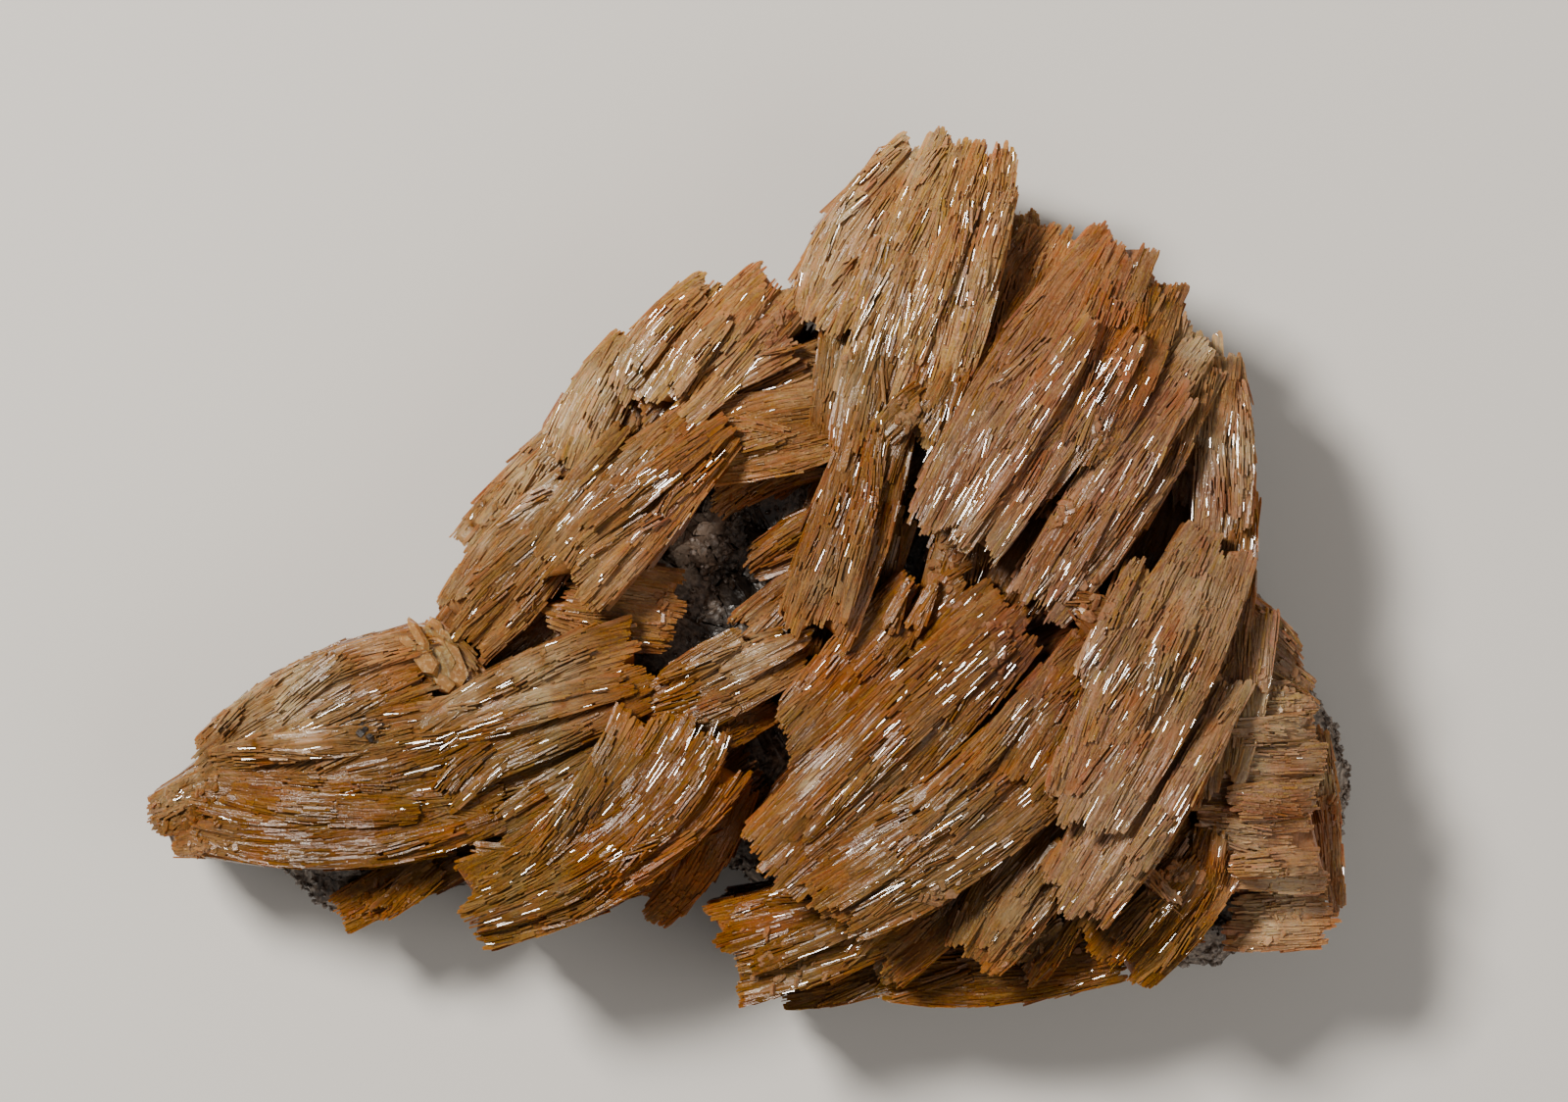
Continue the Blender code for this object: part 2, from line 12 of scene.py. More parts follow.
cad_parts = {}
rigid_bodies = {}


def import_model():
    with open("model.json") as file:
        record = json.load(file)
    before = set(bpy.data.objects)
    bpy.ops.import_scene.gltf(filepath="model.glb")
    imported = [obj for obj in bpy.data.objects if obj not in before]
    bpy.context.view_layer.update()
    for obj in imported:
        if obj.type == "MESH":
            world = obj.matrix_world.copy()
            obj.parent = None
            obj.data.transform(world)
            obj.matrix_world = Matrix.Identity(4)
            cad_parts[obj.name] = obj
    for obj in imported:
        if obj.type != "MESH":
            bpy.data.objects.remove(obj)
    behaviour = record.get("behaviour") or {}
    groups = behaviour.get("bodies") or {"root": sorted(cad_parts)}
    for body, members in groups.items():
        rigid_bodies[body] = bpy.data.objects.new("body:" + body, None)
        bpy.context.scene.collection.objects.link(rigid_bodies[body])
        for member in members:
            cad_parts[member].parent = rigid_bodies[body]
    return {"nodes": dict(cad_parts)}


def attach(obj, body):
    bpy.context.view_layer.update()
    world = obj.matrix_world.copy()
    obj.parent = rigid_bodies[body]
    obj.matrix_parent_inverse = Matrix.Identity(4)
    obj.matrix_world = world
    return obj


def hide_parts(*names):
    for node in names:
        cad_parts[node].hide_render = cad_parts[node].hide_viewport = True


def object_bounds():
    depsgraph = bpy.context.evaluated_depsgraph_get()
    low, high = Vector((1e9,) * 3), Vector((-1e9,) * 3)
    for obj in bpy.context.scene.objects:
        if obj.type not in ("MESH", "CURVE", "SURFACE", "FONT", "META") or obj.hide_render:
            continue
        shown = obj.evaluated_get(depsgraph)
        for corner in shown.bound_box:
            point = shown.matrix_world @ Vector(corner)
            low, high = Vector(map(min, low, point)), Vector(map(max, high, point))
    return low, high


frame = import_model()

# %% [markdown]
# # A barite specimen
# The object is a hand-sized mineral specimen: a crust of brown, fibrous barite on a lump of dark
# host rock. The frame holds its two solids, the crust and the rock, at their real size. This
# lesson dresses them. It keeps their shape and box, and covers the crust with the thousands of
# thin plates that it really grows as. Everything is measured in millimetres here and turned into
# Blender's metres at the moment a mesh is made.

MM = 0.001
cad_low, cad_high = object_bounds()
BOX_LOW, BOX_HIGH = np.array(cad_low) / MM, np.array(cad_high) / MM
print("CAD box in mm:", BOX_LOW.round(1), BOX_HIGH.round(1))

# %% [markdown]
# ## The sheaves
# Barite like this grows in sheaves: packets of thin plates that stand on edge side by side, like
# the pages of a book seen from its top. A packet could be sculpted by hand, but there are well
# over a hundred of them, so a table is the better tool. The first rows of each group repeat the
# table that the solids were made from, so that the plates land exactly on them. Where the solids
# have one broad face, the specimen has ribs, tongues, stray plates and small tufts on it. They are
# sheaves too, only smaller, and come after the plus sign. The group called fill closes narrow
# slots between neighbours that have in truth grown together, and the lower one is seen only at
# the bottom of the crevices.

# %% The table of sheaves
# name, x and y of its foot and of its tip, then its widths and the heights of its upper face, each
# at foot, middle and tip, its depth, and where they aren't 0, its roll in degrees and the bow of
# its middle
SHEAVES = """
[crown]
crown_left  14.5 45.2  3.5 25.5  5 8.5 7.5  22 25 25  13  6 -1.2
crown_middle  18 45.6  9 19  6.5 9 8.5  24 29 29  18  4
crown_right  21.6 46.2  14.5 19  5 7.5 7  25 30 29  18  2 0.5
crown_back  22.5 27  28.8 37.3  7 8 6.5  22 23 21  16
crown_shelf  24 30  25.3 38.6  4 5 3.5  20 20 18  13
saddle  27.5 31.5  14 13.5  6 8.5 6.5  24 28 27  17  3
+
tongue_left  7.2 33.5  3 26.3  1.8 2.6 2.2  25.6 26.6 26.4  6  4
tongue_right  10.6 36.5  5.6 25.8  1.8 2.8 2.4  27.4 28.4 27.8  6  4 0.2
crown_rib  20.5 45  12 22.5  2 3.2 2.4  25.6 30.6 30  7  3 0.3
crown_spur  23 41  18.8 27.5  2 3 2.2  26.5 30.6 30  8
[shoulder]
shoulder_main  34.8 35.8  16.5 4.6  7.5 12.5 10  27 34 36  23  7
shoulder_side  39.2 30.6  30 12  5.5 8.5 7  25 29 28  18
shoulder_ledge  43 24  25.8 -2  5.5 8.5 6.8  27 33 33  22  4
corner_post  44.8 24.8  44.4 4.8  3.5 6.2 6  23 27 28  16  -4 0.5
corner_inner  42.8 20  41.2 7.4  3 3.8 3  24 24 23  14
+
shoulder_rib  31.5 27.5  17.2 5.2  2.4 3.8 3  33.4 36.2 36.8  8  4
shoulder_rib_low  36 26  24.5 8  2.2 3.4 2.4  32 34.2 33.6  8  2 0.4
ledge_rib  41.5 20.5  27 -1.6  2 3.2 2.4  31.6 34.4 33.8  8  3
stray_hollow  26 12.4  30.8 9  1.3 1.9 1.1  31 30.4 29.6  3  15
stray_hollow_low  25.5 7.5  30 10.5  1 1.5 1  28 28.6 28.2  3  -15
corner_rib  46.2 22  46.4 6  1.2 2.2 2  24.6 28.2 28.8  7  0 0.5
[column]
column  10.8 20.5  3 -4.6  6.5 8.5 8  27 30 29  20  3 0.4
column_inner  12 8  7 -5  3.5 4.5 4  23 23 22  13
hollow_tongue  4 6.5  -4.6 1.6  4.5 4.5 2.5  20 19 18  7
hollow_wedge  2.5 0.5  -5 -5.4  4.5 5 4  24 23 22  12
+
column_rib  10 19  5.6 -3  1.8 2.8 2.2  28.6 31.4 30.2  7  2 0.3
column_end  14.5 20.5  9.6 15.2  3 3.6 2.6  30 30.6 30  7
[breast]
inner_leaf  13.5 -0.8  0 -15.6  6 7 5  27 28 27  18  -3
inner_tuft  20.5 1.2  12.5 -6.5  5.5 6.5 5  27 28 27  17
breast_upper  24.5 -2.2  -1.6 -28.2  7.5 10 9  31 34 33  22  -3
breast_lower  33.5 -9.5  3.2 -32  8 11.5 10.5  33 36 34  24  3 2
shoulder_low  40.5 -0.6  22 -20  8 10.5 8  31 34 34  22
keel_leaf  28.5 -23.5  18.5 -38.6  6.5 8.5 6  31 31 29  20  3
keel_leaf_left  21 -27  8.5 -38.8  6.5 8.5 7  28 28 26  17
+
spike_one  10.6 -4.5  12.8 1.6  2 1.6 0.5  28.4 28.8 28.6  4
spike_two  13 -4.5  15.6 1  2.2 1.8 0.6  28.8 29.2 29  4
stray_upper  29 -1.2  34.8 -2.8  1.6 2.6 1.4  34 34.2 34  3  10
stray_middle  29.6 -2.6  33.4 -5.6  1.4 2 1.2  35 35 34.6  3  10
breast_rib  23 -5  1 -25.5  2.4 3.4 2.6  33 35.4 34.2  8  -3 -0.4
breast_rib_low  19 -20.5  2.4 -32.4  2.6 4 3.2  36.4 36.8 35  8  3 0.4
breast_edge  27 -8  13.5 -22.5  2 3 2.2  35.6 37 36.6  8  3 0.6
tuft_low  18.8 -28  14.4 -32  2.5 3 2.2  31.4 31.8 30.8  6
keel_rib  27.5 -25.5  19.4 -37.6  2.2 3.2 2.4  31.8 32 29.8  7  2
[crest]
crest_main  44.5 4.9  29.4 -23.6  8 11.5 8.5  31 38 39  26  4
crest_lower  44 -9  28.8 -32.6  6.5 9.5 8  33 37 36  24  6
crest_edge  48 -0.5  44 -20.5  5 6.5 4.5  27 31 32  20
+
crest_ridge  47 -8.5  35.2 -28.2  2.2 3.2 2.6  31.5 38 37.4  9  5
crest_tooth  35.5 -12.5  29.2 -24.4  2.5 3.6 2.8  38.6 39.1 39  6  3
crest_rib  43 2.5  33.2 -17  2.2 3.4 2.4  32.4 38.6 39  8  3
crest_fore  36.8 3.2  30.5 -10  2.6 4 3  31.5 36.4 37.6  9
crest_stray  35 -27.6  40 -32  1.2 1.8 1  33 32.4 31.4  3
[skirt]
skirt_left  14 -32  -6 -37.6  7.5 10 11  26 26 24  15
skirt_left_low  13.5 -38.5  -1 -41.8  4 5 4  21 20 18  11
skirt_bottom  36 -37  9.5 -40.4  5 5.5 4  22 21 20  12  0 1.2
skirt_right  44.5 -24.5  32.5 -38.6  8 11.5 10  30 30 27  19
+
tuft_pale  43.5 -24.5  42.5 -31  3.5 3.8 3  31 31 29  8
skirt_rib  41.5 -27.5  33.2 -37.4  2.5 3.5 2.8  31.4 31.6 28.6  7
skirt_rib_left  10 -32.6  -3.5 -38.5  2.2 3 2.2  27 27.4 25.4  6
skirt_tuft  29.5 -34  24 -40  3 3.6 3  26 25 22.6  8
skirt_tuft_left  15.5 -33.5  9.5 -40  3 3.6 3  27 26 23  8
[side]
side_stack  42 -20.5  54.6 -20.2  19 21 22  31 30 27  18
side_foot  44.5 -34.3  56.8 -34  5.5 6 5  23 23 21  13
side_rim  54 -14  56.2 -33.5  3.5 3.8 3  20 21 20  11
side_fringe  45.5 -4.5  51.6 -9.2  9 8.5 6.5  27 26 23  15
side_fringe_low  48.5 -9  54.6 -13.6  6.5 6 5  26 25 22  13
+
side_band  45 -14.6  54 -14.2  2.6 3 2.6  31.8 30.8 27.6  6
side_band_middle  45 -21.8  54.6 -21.4  3.2 3.6 3.2  31.6 30.6 27.6  6
side_band_low  45 -28.2  54.8 -27.8  2.4 2.8 2.6  31.4 30.6 27.6  6
[brow]
brow_main  0.5 31.8  -12.2 18  7.5 8.5 6.5  22 26 27  15  3
brow_outer  -6.8 31.4  -16 18.8  4 6.5 5  20 23 23  13  0 -0.8
brow_rim  -14.5 25.8  -22.2 12.6  5 6.5 6  19 21 21  12  0 -0.8
brow_chip  1.5 28.5  -4.5 22.5  3 3.5 3  21 21 20  9
crevice  10.5 26.5  4.5 16.5  6 6.5 5.5  22 22 21  11
nose_bridge  5 23.6  -6.6 19  4.5 5 4  23 24 23  13
nose  -9 14.2  4.8 17.2  7.5 9 8  25 26 25  16
lip  4 13.2  -8 8  3.5 4 4  22 21 20  6  0 -1
+
nose_streak  1.6 24.9  -6.5 20.4  1.8 2.4 1.6  25.4 26.4 25.8  5
brow_streak  0 27.6  -5 24  1.6 2 1.4  23.6 24.2 24  4
brow_rib  -5.8 27.6  -12.2 19.4  1.8 2.8 2.2  26.2 28 27.8  7  2 -0.3
brow_rib_outer  -8 30.6  -15.4 21.8  1.6 2.4 1.8  21.6 24.4 24.2  6  0 -0.5
[cheek]
cheek_main  -7 17.2  -22.6 0.4  7.5 9.5 9  27 29 27  16  4
pale_rim  -19 18.5  -32.4 3.6  4.5 6 5  20 20 18  11
jaw  -21.5 9  -33.4 -5  7.5 9.5 8  24 24 22  14
palate  -24 -0.5  -10.4 -2.8  7 9 8  22 22 21  12
glassy_bit  -37.6 -4.6  -31.5 -12.5  5 6.5 6.5  21 21 21  12
+
cheek_crest  -5.8 17  -20.6 5.2  2.2 3.4 2.4  27.8 30.2 28.6  8  2
cheek_rib  -12 9.6  -22 1.2  2 3 2.2  28 28.8 27.6  7  2
rim_rib  -21.5 16.4  -31 6.2  1.6 2.4 1.8  20.6 21.2 19.4  5  0 -0.3
[wing]
wing_main  -60 -22.4  -29.6 -19.6  8.5 11 10.5  22 26 26  15  0 -2.2
wing_upper  -59.6 -19  -35.8 -8.2  6.5 9.5 8.5  20 24 24  13  -5 1.6
wing_end  -57 -22.4  -64.6 -24.6  9 8.5 6  20 20 17  11
wing_back  -37 -18  -13.6 -7.4  8.5 11 9.5  25 27 25  15  -3 0.6
wing_keel  -33.5 -27.5  -45.6 -33.4  4.5 5 4  20 19 17  9
fan_main  -32.4 -32.6  -9.4 -14.4  9 12.5 15.5  26 31 30  20  0 -3.2
fan_heel  -15.5 -17  -28.8 -24.8  5.5 6 4.5  26 27 26  17
fan_skirt  -5.6 -19.6  -14.2 -32.6  6.5 7 6  25 24 20  13  0 0.8
fringe  -15 -14  2.9 -5.4  6.5 7 4.5  25 26 25  15
fringe_low  -8.5 -15  -0.4 -11  5.5 5.5 4  24 23 21  13
+
wing_step  -35 -21.8  -28 -16  3.6 4.4 3.2  26.6 27.2 26.4  6  0 0.4
wing_rib  -58.6 -17.6  -40.5 -15.4  2.2 3.2 2.6  21.4 26 26.2  7  -3 0.5
wing_rib_low  -57 -21  -36.5 -22.4  2.4 3.4 2.6  23.4 27 27  7  0 -0.8
fringe_tip  -6 -8.6  3 -4.6  3 2.6 0.7  26.4 27.4 26.8  5
fringe_top  -12.5 -10  -3.6 -4.4  2.5 3 1.6  26 27 26.6  5
fan_rib  -19.5 -28.6  -7 -13.8  3 4.2 3.6  30.4 32 30.8  8  0 -1.8
fan_rib_left  -31.5 -31  -18.5 -17.5  2.6 3.6 2.6  26.8 31 30  8  0 -1.6
pale_lath  -23.5 -27.4  -32.6 -26.2  1.7 1.6 0.5  29.4 28.6 27.6  3
wing_back_rib  -35.5 -15.6  -15.6 -9.6  2.4 3.4 2.6  26 28 26.2  7  -3 0.5
keel_tuft  -35.5 -28.5  -42 -33.4  3 3.4 2.6  21 20.4 18.6  7
[fill]
wing_fill  -57 -19.3  -33 -14  5 7 6  20.5 25 25  12
fan_fill  -35 -21  -18 -12.5  6 7.5 7  22 25 26  13
crown_fill  26.5 35  15 14  7 9 7  22 28.5 30  18  3
neck_fill  13 30  7.5 12  8 9 7  28.5 29.3 29  18
shoulder_fill  38.5 32  28.5 12.5  6 9 7  25 32 33  20
ledge_fill  42.5 25.5  33.5 7  5 8 6  26 31.5 31.5  20
corner_fill  44.5 23.5  42 11.5  4 5 3.5  24 27.5 26  16
nape_fill  46.5 9.5  45.5 -2  3.5 4.5 4  25 27.5 28  16
crest_step  34 -4.5  22.5 -21  8 9 7  34 36.8 36  20
brow_fill  -3.5 29.5  -14.5 16  3.5 4.5 4  20 22.5 23  12
cheek_fill  -15.5 16  -26.5 2  4 5 4  22 25 23  12
notch_fill  6.5 28.5  4.5 15.5  4.5 5 4  24.5 25.5 24.5  14
glass_fill  -38.5 -3.8  -32 -10  4 5.5 5  22 22.5 22  12
fan_lobe  -8 -20  -13.5 -31.5  8 10 8  23 23 20  11
[lower]
low_crown  25 35  8.5 12  12 17 14  18 21 21  13
low_shoulder  38 27  20.5 -3.5  13 20 15  20 25 25  17
low_corner  44.5 19  37 -1  6 9 11  20 21 22  13
low_breast  35 -2  4.5 -30.5  17 25 17  24 27 24  19
low_crest  47.5 -4  30 -34  14 22 18  23 27 24  19
low_skirt  44 -31.5  3.5 -37.5  10 9 6  18 19 17  12
low_wing  -56.5 -23.5  -14 -15.5  7 15 16  16 20 20  12  0 -1
low_fan  -30.5 -29.5  -3.5 -16.5  6 12 12  17 20 19  12  0 -1.5
low_brow  1 30  -16.5 12.5  9 12 9  16 19 19  12
low_cheek  -13.5 13.5  -32 -8  8 13 12  18 19 17  12
low_nose  6.5 22  -4 12.5  9 11 10  19 19 19  12
low_column  8 14  1.5 -8  8 8 7  18 19 18  12
"""

Sheaf = namedtuple("Sheaf", "name foot tip widths tops depth roll bow")


def sheaf_of(line):
    name, *words = line.split()
    given = [float(word) for word in words] + [0.0, 0.0]
    return Sheaf(name, given[:2], given[2:4], given[4:7], given[7:10], *given[10:13])


def sheaf_groups(text):
    groups = {}
    for line in text.strip().splitlines():
        if line.startswith("["):
            group = groups[line.strip("[]")] = []
        elif line != "+":
            group.append(sheaf_of(line))
    return groups


GROUPS = sheaf_groups(SHEAVES)
print("sheaves:", {name: len(sheaves) for name, sheaves in GROUPS.items()})

# %% [markdown]
# The crust isn't one colour. It is frosted pale in places, and painted paler, as painted light,
# along its upper left edges, which face the lamp, and on spots that lie in shade. Where it is thin
# it is red, and painted with a glow of light through the barite: a painted glow. It turns olive or
# plum where other minerals stain it, and tea brown in other places. Each stain is a soft spot with
# a place, a reach and a strength, which are worked out once for every point of the plates. The
# plates also glint in clusters, where a whole bunch of them has grown at the angle that mirrors the
# lamp. Left to chance the clusters would fall anywhere, so they have a table too.


# %% Places of the stains and the glints: x, y, reach in mm, strength
def table(text):
    """Rows of numbers, from a text with a comma between one row and the next."""
    return [[float(word) for word in row.split()] for row in text.split(",")]


STAINS = {
    # The first stain is real pale frosting, and painted light along the upper left edges, which
    # face the lamp, and on spots in shade.
    "frost": table("""
        -57 -12 4.5 0.7, -51 -11 6 0.75, -43 -4.5 4 0.6, -63.5 -21 3 0.35, -60 -27 3 0.3,
        -61.5 -18 3 0.45, -36 0.5 3.5 0.5, -32 6 3.5 0.6, -27 11.5 4 0.7, -23 16.5 4 0.6,
        -20 20 3.5 0.6, 3 34 3 0.5, 6 39 3 0.5, 13 45 3 0.8, -24.5 -9 4.5 0.6, -33 -10.5 3 0.6,
        5.5 21 2.5 0.4, 43.5 25 3.5 0.8, 46 15 4.5 0.6, 2.5 -19.5 0.8 0.9, 47.5 -18 2 0.8,
        51 -14 2.4 0.6, 56 -19 2.2 0.6, 46.5 -25.5 2.2 0.6, 52 -26.5 2 0.4, 57 -27.5 1.5 0.5,
        24 35 4 0.3, -7 24 4 0.3, 42 0 5 0.3, 34 -23.5 5 0.3, 24 -33 4 0.25, -16 1 4 0.35,
        -25 9 4 0.45, 4.5 0 4 0.3, 49 -11.5 4 0.55, 50.5 -32.5 4.5 1, -3.5 -7 4 0.55
    """),
    # The next stain is red barite, with a painted glow of light through its thin parts.
    "ember": table("""
        -10 -28 6.5 1, -5.5 -23 5 1, 54.5 -34 5.5 1, 54.5 -25 3.5 0.7, -40 -6 4.5 0.8,
        -7 10 3.5 0.7, -12 -1 4.5 0.6, 6 -8 4.5 0.7, 29.5 36 6 0.8, 34 24 5.5 0.6, 14 -2.5 3.5 0.6,
        25 9 3.5 0.6, -1 16 7 0.6, -5 28 6 0.4, 20 43 4 0.5, -15 -9.5 5 0.5, 46 -30 5 0.5,
        0 -7 5 0.4, -52 -20 6 0.3
    """),
    "olive": table("""
        7 23 4.5 0.8, -16 13 4 0.7, -24 5 4 0.6, -23 -17.5 6.5 0.8, 20 5 4.5 0.6, 14 16 4 0.6,
        19 -27 8 0.6, -15 23 4 0.7, 39 -9 7 0.5, -39 -16.5 4.5 0.6, 7 31 4 0.4, 36 -30 5 0.4,
        -44 -24 5 0.3, 15 -22 7 0.4, 3 -38 6 0.4, -26.5 -31 5 0.7, 10 -31 4.5 0.7, 24 -33 5 0.5
    """),
    "plum": table("""
        25 -6 5.5 0.9, 35 17 6 0.7, 42 11 4.5 0.7, -1 25 4 0.7, 20.5 38 3 0.5, 27 14 8 0.4,
        -14 2 4 0.4, 47 -6 5 0.5, 10 35 6 0.3, 30 -3 6 0.3, -6 3 3 0.5
    """),
    "tea": table("""
        0 17 7 0.8, -30 0 5 0.8, -12 -20 7 0.7, 22 -26 6 0.6, -46 -21 8 0.5, -32 -17 6 0.5,
        -16 9 5 0.3, 8 -36 9 0.4, 28 -38 8 0.4, -45 -27 8 0.4, 5 3 5 0.4, 9 -11 6 0.4,
        -47 -26 7 0.9, 2 -23.5 4.5 0.8, 30.5 4 4.5 0.35, -15.5 -22.5 6 0.9, -61 -23 3.5 0.4
    """),
}
GLINTS = table("""
    8.5 38 3 0.9, 19.5 39.5 5 0.9, 11 26 4 0.8, 15.5 31 3 0.6, 20.5 10 5.5 1, 31.5 20 5 0.8,
    45.5 15 3 0.8, 46.5 6 2.5 0.6, 37 9.5 4 1, 29 1.5 3 0.7, 7.5 12 3 0.3, 5.5 2 3 0.3,
    -15.5 10.5 3.8 0.8, -20.5 8 2.5 0.4, -10.5 23.5 3.5 0.9, -5.5 21.5 2 0.7, -13 28 3 0.6,
    -24 17 3 0.4, -55 -17.5 4 0.6, -46 -15.5 6 0.4, -48 -21 5 0.15, -30.5 -13 3.5 0.7,
    -26.5 -21 3.5 0.6, -36 -19 4 0.4, -36.5 -5 2 0.8, -10.5 -18.5 3.8 0.65, -6 -14.5 2.5 0.5,
    -28.5 -31 3.5 0.4, -17 -25 4 0.25, -8 -8 3.5 0.4, 19 -9.5 4.5 0.6, 10 -17 4.5 0.5,
    12 -31.5 3.5 0.8, 18.5 -27.5 3.5 0.7, 24 -23 3.5 0.5, 28 -15 3.5 0.4, 36 -12 5.5 1,
    33.5 -20 3.5 0.9, 40.5 -22.5 4 1, 43 -13 3.5 0.8, 5.5 -38 2.5 0.9, 13 -37 3 0.6,
    38.5 -32.5 4 0.9, 28 -33 4 0.5, 49.5 -11.5 2.5 0.6, 44 -28 3 0.6, 25 -2 3 0.5
""")
STRAY_GLINTS = 0.1  # share of the plates that glint elsewhere


def spots_at(spots, points):
    """The strength of each of these soft spots at the points, in mm."""
    for x, y, size, strength in spots:
        away = (points[..., 0] - x) ** 2 + (points[..., 1] - y) ** 2
        yield strength * np.exp(-away / size**2)


def strength_at(spots, points):
    """How strong the strongest of the spots is at each of the points."""
    total = np.zeros(points.shape[:-1])
    for strength in spots_at(spots, points):
        total = np.maximum(total, strength)
    return total


def stains_at(points):
    return {kind: strength_at(spots, points) for kind, spots in STAINS.items()}


# %% [markdown]
# ## From a row of the table to a point in space
# To lay plates on a sheaf, we need its surface as a map: how far along the fibres, how far across
# them, and how deep below the upper face. Blender's curves and lattices could bend a flat sheet
# of plates into place, but a few lines of arithmetic give the same map and can be asked for any
# number of points at once with numpy.

# %% Values of the sheaf's shape
NEARBY = 0.02  # half the stretch over which a sheaf's direction is measured
BLADE_WIDTH = 3.0  # breadth of one step across a sheaf
LOWER_BLADES = 3
FEWEST_BLADES = 2
BLADE_STEP = 0.75  # how far neighbouring steps stand above or below each other
BLADE_RAG = 1.5  # how far a step's end runs past or stops short of the sheaf's end
BLADE_SLANT = 0.9  # how far that end is cut aslant
SMALL_SHEAF = 6.0  # a sheaf narrower than this has smaller steps
GROOVE = 0.16
CROWN = 0.08  # fall of a sheaf's edges, as a share of its width
KEEL = 1.10  # width at the underside, as a share of the width on top
UNDERCUT = 0.16  # lean of a sheaf's ends, as a share of its depth
MOST_UNDERCUT = 0.20  # and at most this share of its length
LEAN_LENGTH = 11.0  # stretch at each end over which the end face leans in

# A sheaf with what follows from its row: length, lean of its ends, and for each place across it
# the rise of its face and the reach of its ends.
Bundle = namedtuple("Bundle", "sheaf length inset places rises reaches")


# %% The sheaf's middle line and directions
def through(values, u):
    """The parabola through three values at u = 0, 0.5 and 1."""
    start, middle, end = values
    return start * (1 - u) * (1 - 2 * u) + middle * 4 * u * (1 - u) + end * u * (2 * u - 1)


def unit(vectors):
    return vectors / np.linalg.norm(vectors, axis=-1, keepdims=True)


def spine(sheaf, u):
    foot, tip = np.array(sheaf.foot), np.array(sheaf.tip)
    run = unit(tip - foot)
    middle = (foot + tip) / 2 + np.array((-run[1], run[0])) * sheaf.bow
    x, y = (through((foot[i], middle[i], tip[i]), u) for i in (0, 1))
    return np.stack((x, y, through(sheaf.tops, u)), axis=-1)


def directions(sheaf, u):
    """Unit vectors along the fibres, to their left and out of the upper face."""
    along = unit(spine(sheaf, u + NEARBY) - spine(sheaf, u - NEARBY))
    level = unit(np.stack((-along[..., 1], along[..., 0], np.zeros_like(u)), axis=-1))
    roll = math.radians(sheaf.roll)
    left = level * math.cos(roll) + np.cross(along, level) * math.sin(roll)
    return along, left, np.cross(along, left)


# %% The steps across each sheaf
def bundle_of(sheaf, group):
    dice = random.Random(sheaf.name)
    length = float(np.linalg.norm(spine(sheaf, np.float64(1)) - spine(sheaf, np.float64(0))))
    widest = max(sheaf.widths)
    steps = LOWER_BLADES if group == "lower" else max(FEWEST_BLADES, round(widest / BLADE_WIDTH))
    small = min(1.0, widest / SMALL_SHEAF)
    places, rises, reaches = [], [], []
    for step in range(steps):
        rise, rag, slant = (
            [dice.uniform(-most, most) * small for _ in range(2)]
            for most in (BLADE_STEP, BLADE_RAG, BLADE_SLANT)
        )
        for side, turn in ((0, 1), (1, -1)):
            places.append(2 * (step + side + turn * GROOVE / 2) / steps - 1)
            rises.append(rise)
            reaches.append([rag[0] + slant[0] * turn, rag[1] + slant[1] * turn])
    inset = min(UNDERCUT * sheaf.depth, MOST_UNDERCUT * length)
    return Bundle(sheaf, length, inset, places, np.array(rises), np.array(reaches))


def reach(bundle, across, end):
    """How far the sheaf runs past its nominal end (0 foot, 1 tip) at this place across it."""
    return np.interp(across, bundle.places, bundle.reaches[:, end])


# %% The map itself
def surface(bundle, distance, across, below):
    """Points, and the unit vectors along, left and down there.

    distance runs along the fibres from the foot in mm, across from -1 at the right edge to 1 at
    the left, and below is the depth under the upper face in mm.
    """
    sheaf = bundle.sheaf
    u = np.clip(distance / bundle.length, 0.0, 1.0)
    past = distance - u * bundle.length
    along, left, out = directions(sheaf, u)
    level_along = unit(along * np.array((1.0, 1.0, 0.0)))
    level_left = np.stack((-level_along[..., 1], level_along[..., 0], 0 * u), axis=-1)
    half = through(sheaf.widths, u) / 2
    rise = np.interp(across, bundle.places, bundle.rises[:, 0]) * (1 - u)
    rise += np.interp(across, bundle.places, bundle.rises[:, 1]) * u
    fall = CROWN * 2 * half * across**2
    from_foot, from_tip = u * bundle.length, (1 - u) * bundle.length
    lean = bundle.inset * np.clip(1 - from_foot / LEAN_LENGTH, 0, 1)
    lean -= bundle.inset * np.clip(1 - from_tip / LEAN_LENGTH, 0, 1)
    middle = spine(sheaf, u)
    upper = middle + left * (across * half)[..., None] + out * (rise - fall)[..., None]
    under = middle + level_left * (across * half * KEEL)[..., None] + level_along * lean[..., None]
    under[..., 2] -= sheaf.depth
    down = unit(under - upper)
    return upper + along * past[..., None] + down * below[..., None], along, left, down


BUNDLES = {
    name: [bundle_of(sheaf, name) for sheaf in sheaves] for name, sheaves in GROUPS.items()
}
print("longest sheaf in mm:", round(max(b.length for many in BUNDLES.values() for b in many), 1))

# %% [markdown]
# ## Turning arrays into meshes
# A mesh of a hundred thousand faces could be made with bmesh, one face at a time, but filling the
# mesh's own arrays is much faster. The helper also stores a UV map measured in millimetres along
# and around each plate, and any values that differ from plate to plate. Materials read both.


# %% A mesh from arrays
def store(mesh, values):
    """Keeps values of the mesh's points, for the finishes to read."""
    for key, held in values.items():
        attribute = mesh.attributes.new(key, "FLOAT", "POINT")
        attribute.data.foreach_set("value", held.astype(np.float32).ravel())


